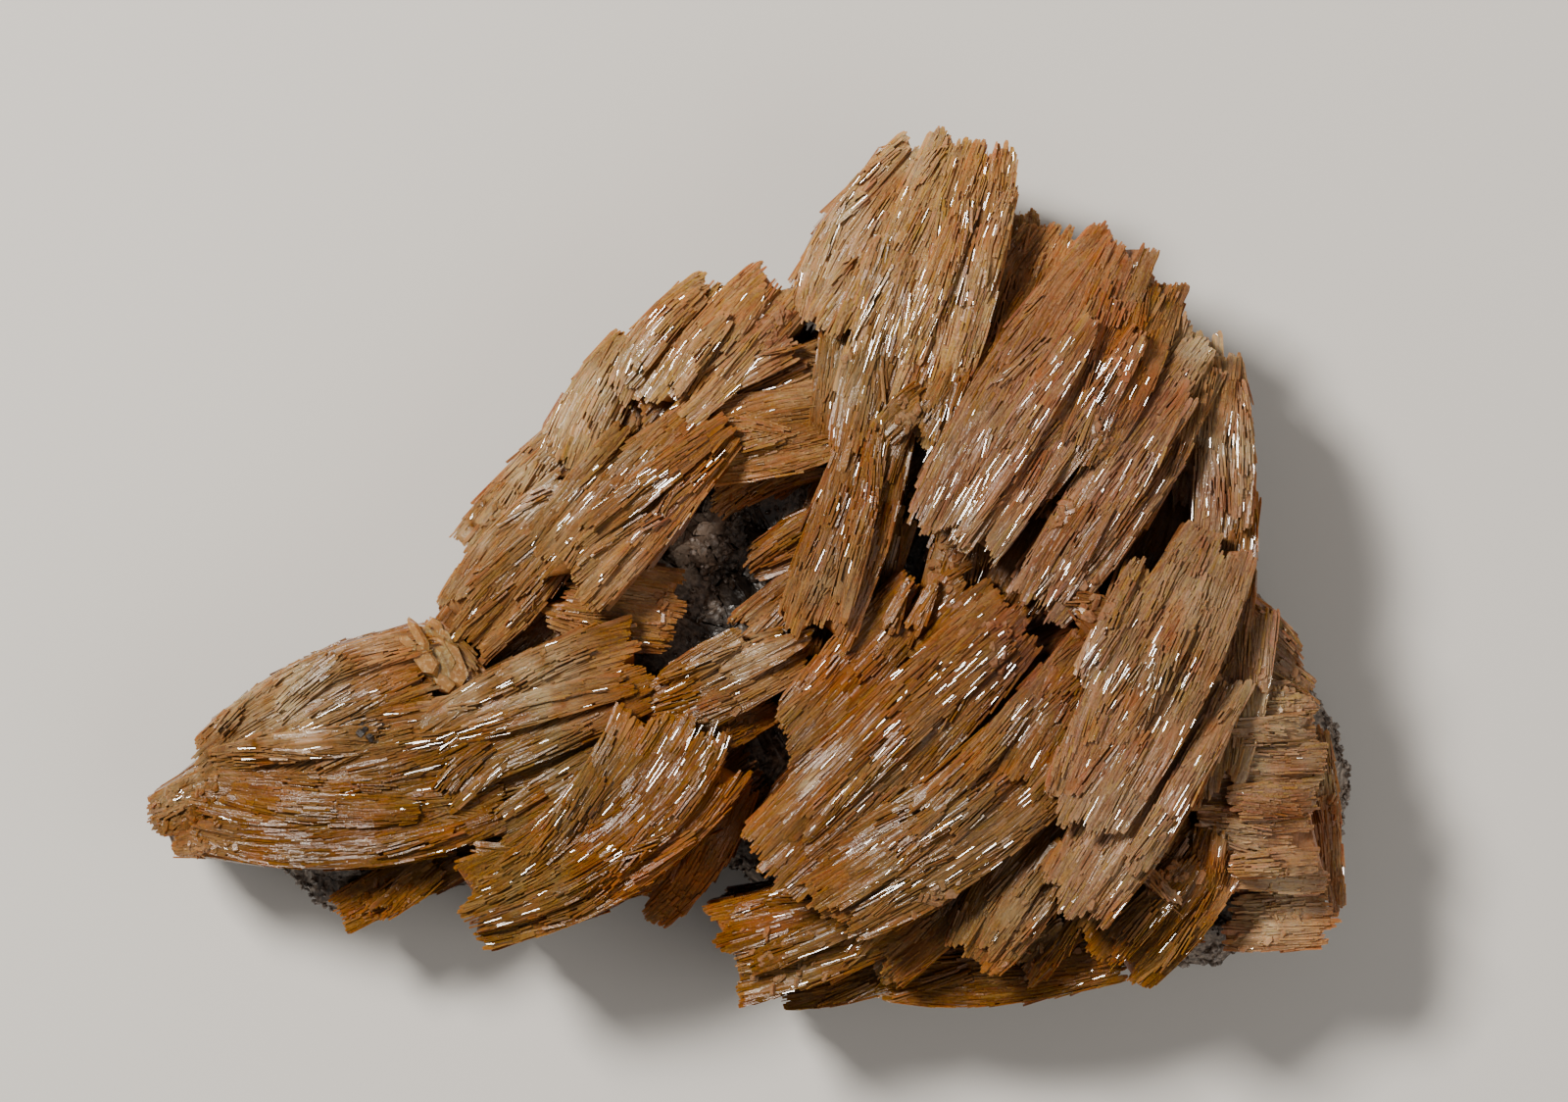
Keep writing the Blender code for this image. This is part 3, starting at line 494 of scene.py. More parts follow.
def mesh_of(name, points, faces, uv, values):
    """A mesh from points in mm, triangles, UVs per corner and values per point."""
    points = np.clip(points, BOX_LOW, BOX_HIGH)
    mesh = bpy.data.meshes.new(name)
    mesh.vertices.add(len(points))
    mesh.vertices.foreach_set("co", (points * MM).astype(np.float32).ravel())
    mesh.loops.add(faces.size)
    mesh.loops.foreach_set("vertex_index", faces.astype(np.int32).ravel())
    mesh.polygons.add(len(faces))
    mesh.polygons.foreach_set("loop_start", np.arange(0, faces.size, 3, np.int32))
    mesh.update(calc_edges=True)
    layer = mesh.uv_layers.new(name="fibre")
    layer.data.foreach_set("uv", uv.astype(np.float32).ravel())
    store(mesh, values)
    mesh.validate()
    mesh.shade_flat()
    return mesh


def add_piece(mesh, material):
    """Puts a mesh into the scene, with its finish, on the one body that the object has."""
    piece = bpy.data.objects.new(mesh.name, mesh)
    bpy.context.scene.collection.objects.link(piece)
    mesh.materials.append(material)
    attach(piece, "root")
    print(f"{piece.name}: {len(mesh.polygons)} triangles")
    return piece


# %% [markdown]
# ## The plates
# Each plate is a thin crystal standing on edge. What we see of it is its narrow upper edge, a
# third of a millimetre wide and a few millimetres long, and the chisel it ends in. The whole
# crust glitters because neighbouring edges are tilted alike and light up together. Particles or
# hair could scatter them, but neither keeps every plate on the sheaf's stepped face or exports as
# a mesh. So each plate is written down first as a row of numbers, and one function turns all rows
# into closed shapes.

# %% One plate, as numbers
# start and end run along the sheaf. across is in mm from its middle, and drift is added to it by
# the end. deep and lift are the depths below the face at the start and at the end, and chisel is
# how far the point itself drops. chance decides whether the plate glints, and stray how far it
# then tilts from the angle of the gleam.
Plate = namedtuple(
    "Plate", "start end across drift deep lift chisel thick tall facet lean tone chance stray"
)

# How plates are cut: the places along them where the section changes, with its thickness, its
# height and the share of the chisel there. A short cut serves on a sheaf's face, where only the
# upper edge is seen, and a long one at its ends.
Cut = namedtuple("Cut", "stations taper stub chisel")
SHORT_CUT = Cut(*np.array(((0.0, 1.0), (0.85, 0.7), (0.7, 0.8), (0.0, 0.0))))
LONG_CUT = Cut(*np.array(((0.0, 0.85, 1.0), (0.8, 1.0, 0.5), (0.6, 1.0, 0.7), (0.0, 0.0, 1.0))))
CORNERS = 3  # corners of a plate's section

# %% [markdown]
# The section of a plate is a narrow wedge: two corners on top, cut aslant at the plate's own
# angle, which make the facet that glints, and one at the bottom, which is never seen. A wedge
# needs only 8 or 14 triangles where a bar would need 12 or 20, so the crust can afford far more.
#
# A plate mirrors the lamp to an eye above when its upper edge faces halfway between the two. In
# the clusters of the table most plates are turned that way, and made a little finer, because a
# glint shows only the clean middle of an edge. Emission could fake the glints, but real ones move
# over the crust when the lamp or the eye moves.

# %% The direction that gleaming plates face
LAMP_PLACE = (-0.42, 0.34, 0.80)  # metres, used again for the lamp itself
lamp_way = np.array(LAMP_PLACE) / np.linalg.norm(LAMP_PLACE)
GLEAM_WAY = (lamp_way + (0, 0, 1)) / np.linalg.norm(lamp_way + (0, 0, 1))
MOST_NOD = 0.32  # the most that a glinting plate's ends rise or sink, in mm
MOST_FACET = 45.0  # and the most that its upper edge tilts, in degrees
FINER = 0.44  # thickness of a glinting plate, against the others
GLINT_SIZE = 0.27  # a plate this thick glints along its whole length, a thicker one shorter
GLINT_LENGTHS = (0.55, 1.5)  # the least and the most of that share
SPARK = 0.5  # share of that length for plates that glint on their own
GLEAM = 1.15  # gleam of a plate that doesn't stray
DULLED = 0.06  # and what it loses with each degree that it strays
GLEAMS = (0.7, 1.0)  # the least and the most of what is left


def turned_to_gleam(bundle, field):
    """The plates' values with the glinting ones tilted and pitched to face the gleam."""
    middle = (field["start"] + field["end"]) / 2
    share = np.clip(middle / bundle.length, 0, 1)
    across = np.clip(field["across"] / (through(bundle.sheaf.widths, share) / 2), -1, 1)
    place = surface(bundle, middle, across, middle * 0)[0]
    strength = strength_at(GLINTS, place)
    shines = field["chance"] < np.maximum(strength, STRAY_GLINTS)
    length = np.clip(GLINT_SIZE / field["thick"], *GLINT_LENGTHS)
    length = np.where(shines, length * np.where(strength > STRAY_GLINTS, 1, SPARK), 1.0)
    along, left, out = directions(bundle.sheaf, share)
    heading = np.sign(field["end"] - field["start"])
    ahead, aside, up = (np.sum(way * GLEAM_WAY, axis=-1) for way in (along, left, out))
    facet = np.clip(field["stray"] - np.degrees(np.arctan2(aside, up)), -MOST_FACET, MOST_FACET)
    end = field["start"] + (field["end"] - field["start"]) * length
    size = np.abs(end - field["start"])
    rise = np.clip(-heading * ahead / up * size / 2, -MOST_NOD, MOST_NOD)
    level = (field["deep"] + field["lift"]) / 2 + (field["deep"] - field["lift"]) / 4
    thick, deep, lift = field["thick"] * FINER, level + rise, level - rise
    turned = {"thick": thick, "facet": facet, "deep": deep, "lift": lift}
    return field | {key: np.where(shines, value, field[key]) for key, value in turned.items()} | {
        "gleam": shines * np.clip(GLEAM - DULLED * np.abs(field["stray"]), *GLEAMS), "end": end,
    }


# %% All plates of a sheaf as a mesh
def plate_points(bundle, plates, cut):
    """Corner points, values for each corner, and distances, of many plates at once."""
    field = turned_to_gleam(bundle, dict(zip(Plate._fields, np.array(plates).T[:, :, None])))
    distance = field["start"] + (field["end"] - field["start"]) * cut.stations
    sideways = field["across"] + field["drift"] * cut.stations
    rise = np.minimum(cut.stations / cut.stations[1], 1.0)
    below = field["deep"] + (field["lift"] - field["deep"]) * rise + field["chisel"] * cut.chisel
    half = through(bundle.sheaf.widths, np.clip(distance / bundle.length, 0.0, 1.0)) / 2
    across = np.clip(sideways / half, -1.0, 1.0)
    middle, _, left, down = surface(bundle, distance, across, below)
    middle = middle + left * (sideways - across * half)[..., None]
    turn = np.radians(field["lean"])[..., None]
    heading = np.sign(field["end"] - field["start"])[..., None]
    tilt = np.tan(np.radians(field["facet"]))[..., None] * heading
    level = unit(left - down * np.sum(left * down, axis=-1, keepdims=True))
    side = (level * np.cos(turn) + down * np.sin(turn)) * heading
    drop = down * np.cos(turn) - level * np.sin(turn)
    width = (field["thick"] * cut.taper / 2)[..., None]
    wide, slant = side * width, drop * width * tilt
    tall = drop * (field["tall"] * cut.stub)[..., None]
    corners = np.stack((middle + wide - slant, middle - wide + slant, middle + tall), axis=2)
    everywhere = np.ones(corners.shape[:3])
    values = {
        "tone": field["tone"][..., None] * everywhere,
        # depth below the face, which the finish turns into painted shade
        "depth": below[..., None] + everywhere * np.array((0.0, 0.0, 2.0)),
        "tip": cut.stations[None, :, None] * everywhere,
        "gleam": field["gleam"][..., None] * everywhere,
        "hue": field["stray"][..., None] / GLINT_STRAY * everywhere,
    }
    return corners, values, distance


def plate_faces(count, stations):
    """The faces of that many plates: sides between their sections, as triangles, and two ends."""
    faces = []
    for station in range(stations - 1):
        a, b = station * CORNERS, (station + 1) * CORNERS
        for i in range(CORNERS):
            j = (i + 1) % CORNERS
            faces += [(a + i, a + j, b + j), (a + i, b + j, b + i)]
    last = (stations - 1) * CORNERS
    faces += [(2, 1, 0), (last, last + 1, last + 2)]
    one = np.array(faces)
    return (one[None] + (np.arange(count) * stations * CORNERS)[:, None, None]).reshape(-1, 3)


def plate_uvs(faces, corners, distance, dice):
    """UVs in mm: along the plate, and round its section, shifted so that no two plates match."""
    section = np.linalg.norm(np.roll(corners, -1, axis=2) - corners, axis=-1)
    around = np.concatenate((np.zeros((*section.shape[:2], 1)), section[..., :-1].cumsum(2)), 2)
    shift = dice.uniform(0, 400, (len(corners), 2))
    u = np.repeat(distance[..., None], CORNERS, axis=2) + shift[:, 0, None, None]
    v = around + shift[:, 1, None, None]
    return np.stack((u, v), axis=-1).reshape(-1, 2)[faces.reshape(-1)]


# %% [markdown]
# ## Laying the plates
# On the upper face the plates lie in columns along the fibres. Noise lifts whole strands of them
# together, because real plates grow in strands a millimetre or two wide, and tilts them in
# patches, which is why the glints come in clusters. The plate at the foot of each column points
# the other way, so that both ends of a sheaf are combs.

# %% The relief of a sheaf's face
LOBE = (17.0, 3.6)  # length and width in mm of its broad swells
LOBE_RISE = 0.55
STRAND = (9.0, 1.3)  # and of the strands on them
STRAND_RISE = 0.2
CRACK = (13.0, 2.4)  # spacing of the cracks along the fibres and across them
CRACK_WIDTH = 0.08
CRACK_DEPTH = 0.5
CRACK_PATCH = (3.0, 0.2)  # how sharply patches with open cracks begin, and how much they shrink
LEVEL = -0.25  # middle height of the relief, against the sheaf's solid
MOST_LIFT = 0.5  # the most that a plate stands above that solid
STRAND_TONE = 0.8  # how much the strands differ in lightness
NOISE_GAIN = 1.6  # brings noise to about -1 to 1


def ripple(bundle, distance, sideways, size, layer):
    """Noise from about -1 to 1, slow along the fibres and quick across. Each layer has its own."""
    seed = 7.3 * len(bundle.sheaf.name) + bundle.length + 19.7 * layer
    return NOISE_GAIN * noise.noise(Vector((distance / size[0], sideways / size[1], seed)))


def relief(bundle, distance, sideways):
    """Height of the plates' upper edges over the sheaf's face, in mm."""
    height = LEVEL + LOBE_RISE * ripple(bundle, distance, sideways, LOBE, 0)
    height += STRAND_RISE * ripple(bundle, distance, sideways, STRAND, 1)
    split = abs(ripple(bundle, distance, sideways, CRACK, 2)) / CRACK_WIDTH
    open_here = ripple(bundle, distance, sideways, LOBE, 3) * CRACK_PATCH[0] - CRACK_PATCH[1]
    if split < 1 and open_here > 0:
        height -= CRACK_DEPTH * (1 - split) * min(open_here, 1.0)
    return min(height, MOST_LIFT)


def tone_at(bundle, distance, sideways):
    """Lightness of the strand here, from about -1 to 1."""
    return STRAND_TONE * ripple(bundle, distance, sideways, STRAND, 5)


# %% Values of the plates
PITCH = 0.23  # spacing of the columns across a sheaf
LOWER_PITCH = 0.6  # spacing on the sheaves of the lower tier, seen only in crevices
SIZES = (0.8, 4.4, 1.7)  # shortest, longest and commonest length
THICKS = (0.12, 0.40, 0.24)
END_THICKS = (0.2, 0.7, 0.36)
END_SIZES = (2.5, 5.0)
CHISELS = (0.0, 0.25)
STRAND_TURN = 4.0  # how far a strand swerves from the sheaf, in degrees
PLATE_TURN = 2.2  # and how far a plate does from its strand
PLATE_LIFT = 0.045
TALL = 1.2  # height of a plate on edge
END_TALL = 2.3
END_NOD = 2.0  # how far plates at the ends nod down, in degrees
RAGS = (-0.2, 0.35)  # how unevenly plates end
STRAND_RAGS = (0.45, 1.2)  # how unevenly strands end, at the foot and at the tip
STRAND_RAG_BIAS = 0.2
PATCH = (5.5, 2.0)  # size in mm of a patch of plates that are tilted alike
PATCH_TILT = 32.0  # and how far, in degrees
PATCH_PITCH = 4.5  # how far they nod along the fibres
FACET = 7.0  # spread of the tilt of an upper edge about its patch's
GLINT_PATCH = 0.45  # how much more often plates glint where the patch tilts one way
GLINT_STRAY = 4.5  # how far glinting plates stray from the gleam, in degrees
RAREST, COMMONEST = 1.35, 0.02  # range of a plate's chance
ODD_SHARE = 0.14  # share of plates that follow no patch
ODD_TILT = 22.0
STEEPEST = 40.0
LEANING = 4.0  # spread of the tilt of whole plates, in degrees
PLATE_TONE = 0.45  # spread of the lightness of plates about their strand's
IN_COLUMN = (0.1, 0.9)  # where across its column a row of plates lies
FIRST_GAP = (0.2, 1.0)  # how far from the sheaf's end the row begins
SHORTEST = 0.4  # the row ends when no more than this is left
OVERLAPS = (0.6, 1.0)  # where the next plate starts, as a share of the last one


def half_width(bundle, distance):
    u = min(max(distance / bundle.length, 0.0), 1.0)
    return through(bundle.sheaf.widths, u) / 2


def plate(bundle, dice, start, end, across, below, tall=TALL, thicks=THICKS, nod=0.0):
    """One plate from start to end (its point), at share across of the sheaf, near depth below."""
    a, b = across * half_width(bundle, start), across * half_width(bundle, end)
    top, side = (start + end) / 2, (a + b) / 2
    turn = STRAND_TURN * ripple(bundle, top, side, STRAND, 4) + dice.gauss(0, PLATE_TURN)
    patch = ripple(bundle, top, side, PATCH, 8)
    facet = PATCH_TILT * patch + dice.gauss(0, FACET)
    if dice.random() < ODD_SHARE:
        facet = dice.gauss(0, ODD_TILT)
    pitch = nod + PATCH_PITCH * ripple(bundle, top, side, PATCH, 9) + dice.gauss(0, 1.0)
    rise = abs(end - start) / 2 * math.tan(math.radians(pitch))
    lift = below - relief(bundle, top, side) + dice.gauss(0, PLATE_LIFT)
    return Plate(
        start, end, a, b - a + math.radians(turn) * abs(end - start), lift + rise, lift - rise,
        dice.uniform(*CHISELS), dice.triangular(*thicks), tall,
        min(max(facet, -STEEPEST), STEEPEST), dice.gauss(0, LEANING),
        tone_at(bundle, top, side) + dice.gauss(0, PLATE_TONE),
        max(dice.random() * RAREST - GLINT_PATCH * patch, COMMONEST), dice.gauss(0, GLINT_STRAY),
    )


def shortfall(bundle, sideways, end):
    """How far the strand here stops short of the sheaf's end, in mm."""
    rag = ripple(bundle, 50.0 * end, sideways, STRAND, 6) + STRAND_RAG_BIAS
    return STRAND_RAGS[end] * max(0.0, rag)


def end_of(bundle, dice, across, end):
    """How far a plate runs past the sheaf's nominal end, with what it falls short taken off."""
    sideways = across * half_width(bundle, bundle.length * end)
    return reach(bundle, across, end) - shortfall(bundle, sideways, end) - dice.uniform(*RAGS)


def columns_of(bundle, pitch):
    return max(3, round(max(bundle.sheaf.widths) / pitch))


# %% Plates of the upper face
def face_plates(bundle, dice, pitch):
    """Plates along the face, and those at its two ends."""
    rows, ends = [], []
    columns = columns_of(bundle, pitch)
    for column in range(columns):
        across = 2 * (column + dice.uniform(*IN_COLUMN)) / columns - 1
        first = -end_of(bundle, dice, across, 0)
        last = bundle.length + end_of(bundle, dice, across, 1)
        if column % 2:
            for point, inwards in ((first, 1), (last, -1)):
                start = point + inwards * dice.uniform(*END_SIZES)
                where = (start, point, across, 0.0)
                ends.append(plate(bundle, dice, *where, END_TALL, END_THICKS, END_NOD))
        start = first + dice.uniform(*FIRST_GAP)
        end = start
        while end < last - SHORTEST:
            size = dice.triangular(*SIZES)
            end = min(start + size, last)
            rows.append(plate(bundle, dice, start, end, across, 0.0))
            start += size * dice.uniform(*OVERLAPS)
    return rows, ends


# %% [markdown]
# A face laid in columns alone looks combed. Real sheaves are untidy: here and there a tuft of
# plates has grown past the others, a little higher and in a slightly different direction.

# %% Tufts
TUFT_AREA = 20.0  # one tuft for every so many square millimetres of face
TUFT_WIDTHS = (0.7, 2.8)
TUFT_LENGTHS = (3.0, 11.0)
TUFT_LIFTS = (0.1, 0.8)
TUFT_TURN = 8.0
TUFT_PITCH = 0.22
TUFT_TALL = 1.8
TUFT_EDGE = 0.9  # tufts stay within this share of the sheaf's width
TUFT_RAGS = (1.5, 2.5)  # how unevenly they start and end
TUFT_POINT = 1.4  # the nearer this is to 1, the more they end in a point
TUFT_OVERLAPS = (0.6, 0.95)
TUFT_TOPS = (-0.8, -1.0)  # the highest that plates stand at their start and end


def tuft_plates(bundle, dice):
    rows = []
    widest = max(bundle.sheaf.widths)
    for _ in range(round(bundle.length * widest / TUFT_AREA)):
        length, width = dice.uniform(*TUFT_LENGTHS), dice.uniform(*TUFT_WIDTHS)
        start = dice.uniform(-0.5, bundle.length - length)
        middle = dice.uniform(-0.5, 0.5) * (widest - width)
        lift, slope = dice.uniform(*TUFT_LIFTS), math.radians(dice.gauss(0, TUFT_TURN))
        for column in range(round(width / TUFT_PITCH)):
            sideways = middle + (column + dice.random()) * TUFT_PITCH - width / 2
            crown = 1 - (2 * (sideways - middle) / width) ** 2
            at = start + dice.uniform(0, TUFT_RAGS[0])
            last = start + length - dice.uniform(0, TUFT_RAGS[1]) * (TUFT_POINT - crown)
            while at < last - 1.0:
                end = min(at + dice.triangular(*SIZES), last)
                across = sideways / max(half_width(bundle, at), 0.1)
                spread = (sideways + (end - start) * slope) / max(half_width(bundle, end), 0.1)
                if max(abs(across), abs(spread)) < TUFT_EDGE:
                    row = plate(bundle, dice, at, end, across, 0.0, TUFT_TALL)
                    rows.append(row._replace(
                        across=row.across + (at - start) * slope,
                        drift=row.drift + (end - at) * slope,
                        deep=max(row.deep - lift * crown, TUFT_TOPS[0]),
                        lift=max(row.lift - lift * crown, TUFT_TOPS[1]),
                    ))
                at += (end - at) * dice.uniform(*TUFT_OVERLAPS)
    return rows


# %% [markdown]
# The sides of a sheaf show the broad faces of its outer plates, and its ends show the points of
# all of them, one row under another. Only what can be seen is laid: a full stack would need
# twenty times as many plates, so the sides and ends are clad and a plain body fills the middle.

# %% Plates of the sides and ends
SIDE_SIZES = (3.0, 10.0, 5.5)
SIDE_TALLS = (1.0, 2.3)
SIDE_LAYER = 0.95  # spacing of the plates down a side
SIDE_INSET = 0.4  # how far in they lie
SIDE_RELIEF = 0.28  # and how unevenly
SIDE_LEAN = 7.0
SIDE_NOD = 1.5
SIDE_RAGS = (2.5, 1.2)  # how unevenly a row starts and ends
SIDE_SHORTEST = 1.2  # no plate starts nearer than this to the row's end
SIDE_BOTTOM = 0.6  # how far above the underside the rows stop
SIDE_JITTER = (0.1, 0.35)  # how unevenly its plates lie, inwards and down
SIDE_OVERLAPS = (0.45, 0.8)
LAYER_SPREAD = (0.8, 1.2)
TURNABLE = 2.0  # a plate that starts before this may point to the foot
LAYER = 1.8  # height of one row of plates down an end
LAYER_TALL = 2.4
FIRST_LAYER = 0.6  # how far down the first row lies, as a share of that
END_BOTTOM = 0.8
END_BACK = 0.5  # how much further back than those of the face these plates may end
SPARSER = 2.3  # spacing of the columns there, against the face's


def side_plates(bundle, dice):
    rows = []
    for side in (-1, 1):
        below = SIDE_LAYER
        while below < bundle.sheaf.depth - SIDE_BOTTOM:
            start = -reach(bundle, side, 0) + dice.uniform(0, SIDE_RAGS[0])
            last = bundle.length + reach(bundle, side, 1) - dice.uniform(0, SIDE_RAGS[1])
            while start < last - SIDE_SHORTEST:
                size = dice.triangular(*SIDE_SIZES)
                end = min(start + size, last)
                middle = (start + end) / 2
                wave = ripple(bundle, middle, 40 * side + below, STRAND, 7)
                jitter = dice.uniform(-SIDE_JITTER[0], SIDE_JITTER[0])
                inset = SIDE_INSET + SIDE_RELIEF * wave + jitter
                across = side * (1 - inset / max(half_width(bundle, middle), 0.5))
                depth = below + dice.gauss(0, SIDE_JITTER[1])
                turned = start < TURNABLE and dice.random() < 0.5
                points = (end, start) if turned else (start, end)
                tall = dice.uniform(*SIDE_TALLS)
                laid = plate(bundle, dice, *points, across, depth, tall, END_THICKS, SIDE_NOD)
                rows.append(laid._replace(lean=dice.gauss(0, SIDE_LEAN)))
                start += size * dice.uniform(*SIDE_OVERLAPS)
            below += SIDE_LAYER * dice.uniform(*LAYER_SPREAD)
    return rows


def end_plates(bundle, dice, pitch):
    rows = []
    columns = columns_of(bundle, pitch * SPARSER)
    for end, base, outwards in ((0, 0.0, -1), (1, bundle.length, 1)):
        below = LAYER * FIRST_LAYER
        while below < bundle.sheaf.depth - END_BOTTOM:
            for column in range(columns):
                across = 2 * (column + dice.uniform(0, 1)) / columns - 1
                past = end_of(bundle, dice, across, end) - dice.uniform(0, END_BACK)
                point = base + outwards * past
                start = point - outwards * dice.uniform(*END_SIZES)
                where = (start, point, across, below + dice.uniform(-LAYER / 2, LAYER / 2))
                rows.append(plate(bundle, dice, *where, LAYER_TALL, END_THICKS, END_NOD))
            below += LAYER
    return rows


# %% [markdown]
# Where two sheaves cross, the plates of one are buried in the other. They would never be seen,
# and they would cost triangles, so each plate is tested against the crust's solid. A BVH tree
# finds the nearest point of that solid quickly, and the normal there tells inside from outside.

# %% The crust's solid, to test against
def tree_of(meshes):
    """A BVH tree of these meshes, in mm."""
    points, faces = [], []
    for mesh in meshes:
        faces += [tuple(i + len(points) for i in face.vertices) for face in mesh.polygons]
        points += [vert.co / MM for vert in mesh.vertices]
    return BVHTree.FromPolygons(points, faces)


CRUST_TREE = tree_of([frame["nodes"]["barite_crust"].data])
BURIED = 0.9  # a plate deeper than this inside the crust is left out
ADRIFT = 2.6  # and so is one further than this outside it


def height_over_crust(point):
    """Distance in mm from the crust's surface: positive outside it, negative inside."""
    nearest, normal, _, distance = CRUST_TREE.find_nearest(Vector(point))
    return math.copysign(distance, (Vector(point) - nearest).dot(normal))


def seen(corners):
    """Whether each plate lies near the crust's surface, from the middle of its upper edge."""
    heights = np.array([
        [height_over_crust(place) for place in places] for places in corners[:, :, :2].mean(axis=2)
    ])
    return (heights.max(axis=1) > -BURIED) & (heights.min(axis=1) < ADRIFT)


# %% Cladding every sheaf
def barite_piece(name, parts, material):
    """A piece of the crust from its parts: points, faces, UVs and values by name."""
    points, faces, uvs, held = zip(*parts)
    firsts = np.cumsum([0] + [len(some) for some in points])
    faces = np.concatenate([some + first for some, first in zip(faces, firsts)])
    values = {key: np.concatenate([one[key] for one in held]) for key in held[0]}
    piece = add_piece(
        mesh_of(name, np.concatenate(points), faces, np.concatenate(uvs), values),
        material,
    )
    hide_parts("barite_crust")
    return piece


def clad(name, bundles, material, pitch=PITCH):
    """One piece holding all the plates of these sheaves."""
    parts = []
    shifts = np.random.default_rng(len(name))
    for bundle in bundles:
        dice = random.Random("plates of " + bundle.sheaf.name)
        rows, ends = face_plates(bundle, dice, pitch)
        rows += tuft_plates(bundle, dice) + side_plates(bundle, dice)
        ends += end_plates(bundle, dice, pitch)
        for cut, laid in ((SHORT_CUT, rows), (LONG_CUT, ends)):
            corners, values, distance = plate_points(bundle, laid, cut)
            kept = seen(corners)
            if not kept.any():
                continue
            corners, distance = corners[kept], distance[kept]
            values = {key: value[kept] for key, value in values.items()} | stains_at(corners)
            face = plate_faces(len(corners), len(cut.stations))
            uv = plate_uvs(face, corners, distance, shifts)
            flat = {key: value.reshape(-1) for key, value in values.items()}
            parts.append((corners.reshape(-1, 3), face, uv, flat))
    return barite_piece(name, parts, material)


# %% [markdown]
# ## Finishes
# Barite is a clear, brittle crystal. Iron stains it honey brown, and light that enters a thin
# plate leaves it a millimetre or two away, warmer than it went in. So the finish needs three
# things: a colour that changes from plate to plate and along the grain, a faint striation that
# breaks up the gloss, and some scattering below the surface. The first two are used by several
# finishes, so each is a node group with its own inputs.


# %% Helpers for node trees
def feed(tree, socket, value):
    """Links an output to this input, or sets its value. A colour gets its fourth number here."""
    if isinstance(value, bpy.types.NodeSocket):
        tree.links.new(value, socket)
    else:
        socket.default_value = (*value, 1.0) if socket.type == "RGBA" else value


def add_node(tree, kind, **inputs):
    """A shader node with these inputs, which are outputs of other nodes or values."""
    node = tree.nodes.new("ShaderNode" + kind)
    return feed_all(tree, node, **inputs)


def feed_all(tree, node, **inputs):
    for name, value in inputs.items():
        feed(tree, node.inputs[name.replace("_", " ")], value)
    return node


def new_group(name, inputs, outputs):
    """An empty node group with these number sockets. inputs has their values."""
    group = bpy.data.node_groups.new(name, "ShaderNodeTree")
    for title, value in inputs.items():
        kind = {"in_out": "INPUT", "socket_type": "NodeSocketFloat"}
        group.interface.new_socket(name=title, **kind).default_value = value
    for title in outputs:
        group.interface.new_socket(name=title, in_out="OUTPUT", socket_type="NodeSocketFloat")
    return group, group.nodes.new("NodeGroupInput"), group.nodes.new("NodeGroupOutput")


def maths(tree, operation, *values):
    """A Math node. The values are sockets or numbers."""
    node = add_node(tree, "Math")
    node.operation = operation
    for socket, value in zip(node.inputs, values):
        feed(tree, socket, value)
    return node.outputs[0]


def times(tree, a, b):
    return maths(tree, "MULTIPLY", a, b)


def times_plus(tree, a, b, c):
    return maths(tree, "MULTIPLY_ADD", a, b, c)


def blend(tree, factor, a, b, mode="MIX"):
    """A colour between a and b."""
    node = add_node(tree, "Mix")
    node.data_type, node.blend_type = "RGBA", mode
    for index, value in ((0, factor), (6, a), (7, b)):
        feed(tree, node.inputs[index], value)
    return node.outputs[2]


def stretch(tree, value, low, high):
    """Maps low..high of a socket to 0..1, clamped."""
    return add_node(tree, "MapRange", Value=value, From_Min=low, From_Max=high).outputs["Result"]


def cover(tree, colour, value, low, high, tint, most, mode="MIX"):
    """The colour under a tint, which starts where the value is low and is at its most at high."""
    share = stretch(tree, value, low, high)
    return blend(tree, share if most == 1 else times(tree, share, most), colour, tint, mode)


def new_material(name):
    """A material, its node tree and its shader."""
    material = bpy.data.materials.new(name)
    material.use_nodes = True
    return material, material.node_tree, material.node_tree.nodes["Principled BSDF"]


def read_value(tree, name):
    node = add_node(tree, "Attribute")
    node.attribute_name = name
    return node.outputs["Fac"]


def add_bump(tree, shader, height, strength, distance):
    bump = add_node(tree, "Bump", Height=height, Strength=strength, Distance=distance)
    tree.links.new(bump.outputs["Normal"], shader.inputs["Normal"])


# %% The fibre grain group
def make_fibre_grain():
    """Streaks along the plates, from their UVs in mm: long in U, fine in V."""
    inputs = {"Length": 0.25, "Fineness": 7.0}
    group, given, result = new_group("fibre_grain", inputs, ("Streak", "Fleck"))
    uv = add_node(group, "UVMap")
    uv.uv_map = "fibre"
    parts = add_node(group, "SeparateXYZ", Vector=uv.outputs[0])
    along, round_it = (
        times(group, parts.outputs[i], given.outputs[title]) for i, title in enumerate(inputs)
    )
    joined = add_node(group, "CombineXYZ", X=along, Y=round_it).outputs[0]
    streak = add_node(group, "TexNoise", Vector=joined, Scale=1.0, Detail=3.0, Roughness=0.65)
    fleck = add_node(group, "TexNoise", Vector=uv.outputs[0], Scale=2.3, Detail=2.0, Roughness=0.5)
    feed_all(group, result, Streak=streak.outputs["Fac"], Fleck=fleck.outputs["Fac"])
    return group


# %% The stain group
def make_stain():
    """Clouds of two sizes over the whole specimen, from the object's own coordinates in metres."""
    group, given, result = new_group("stain", {"Broad": 60.0, "Fine": 420.0}, ("Cloud", "Spot"))
    place = add_node(group, "TexCoord").outputs["Object"]
    for size, output, detail in (("Broad", "Cloud", 3.0), ("Fine", "Spot", 2.0)):
        cloud = add_node(group, "TexNoise", Vector=place, Detail=detail, Roughness=0.55)
        feed(group, cloud.inputs["Scale"], given.outputs[size])
        feed(group, result.inputs[output], cloud.outputs["Fac"])
    return group


FIBRE_GRAIN, STAIN = make_fibre_grain(), make_stain()


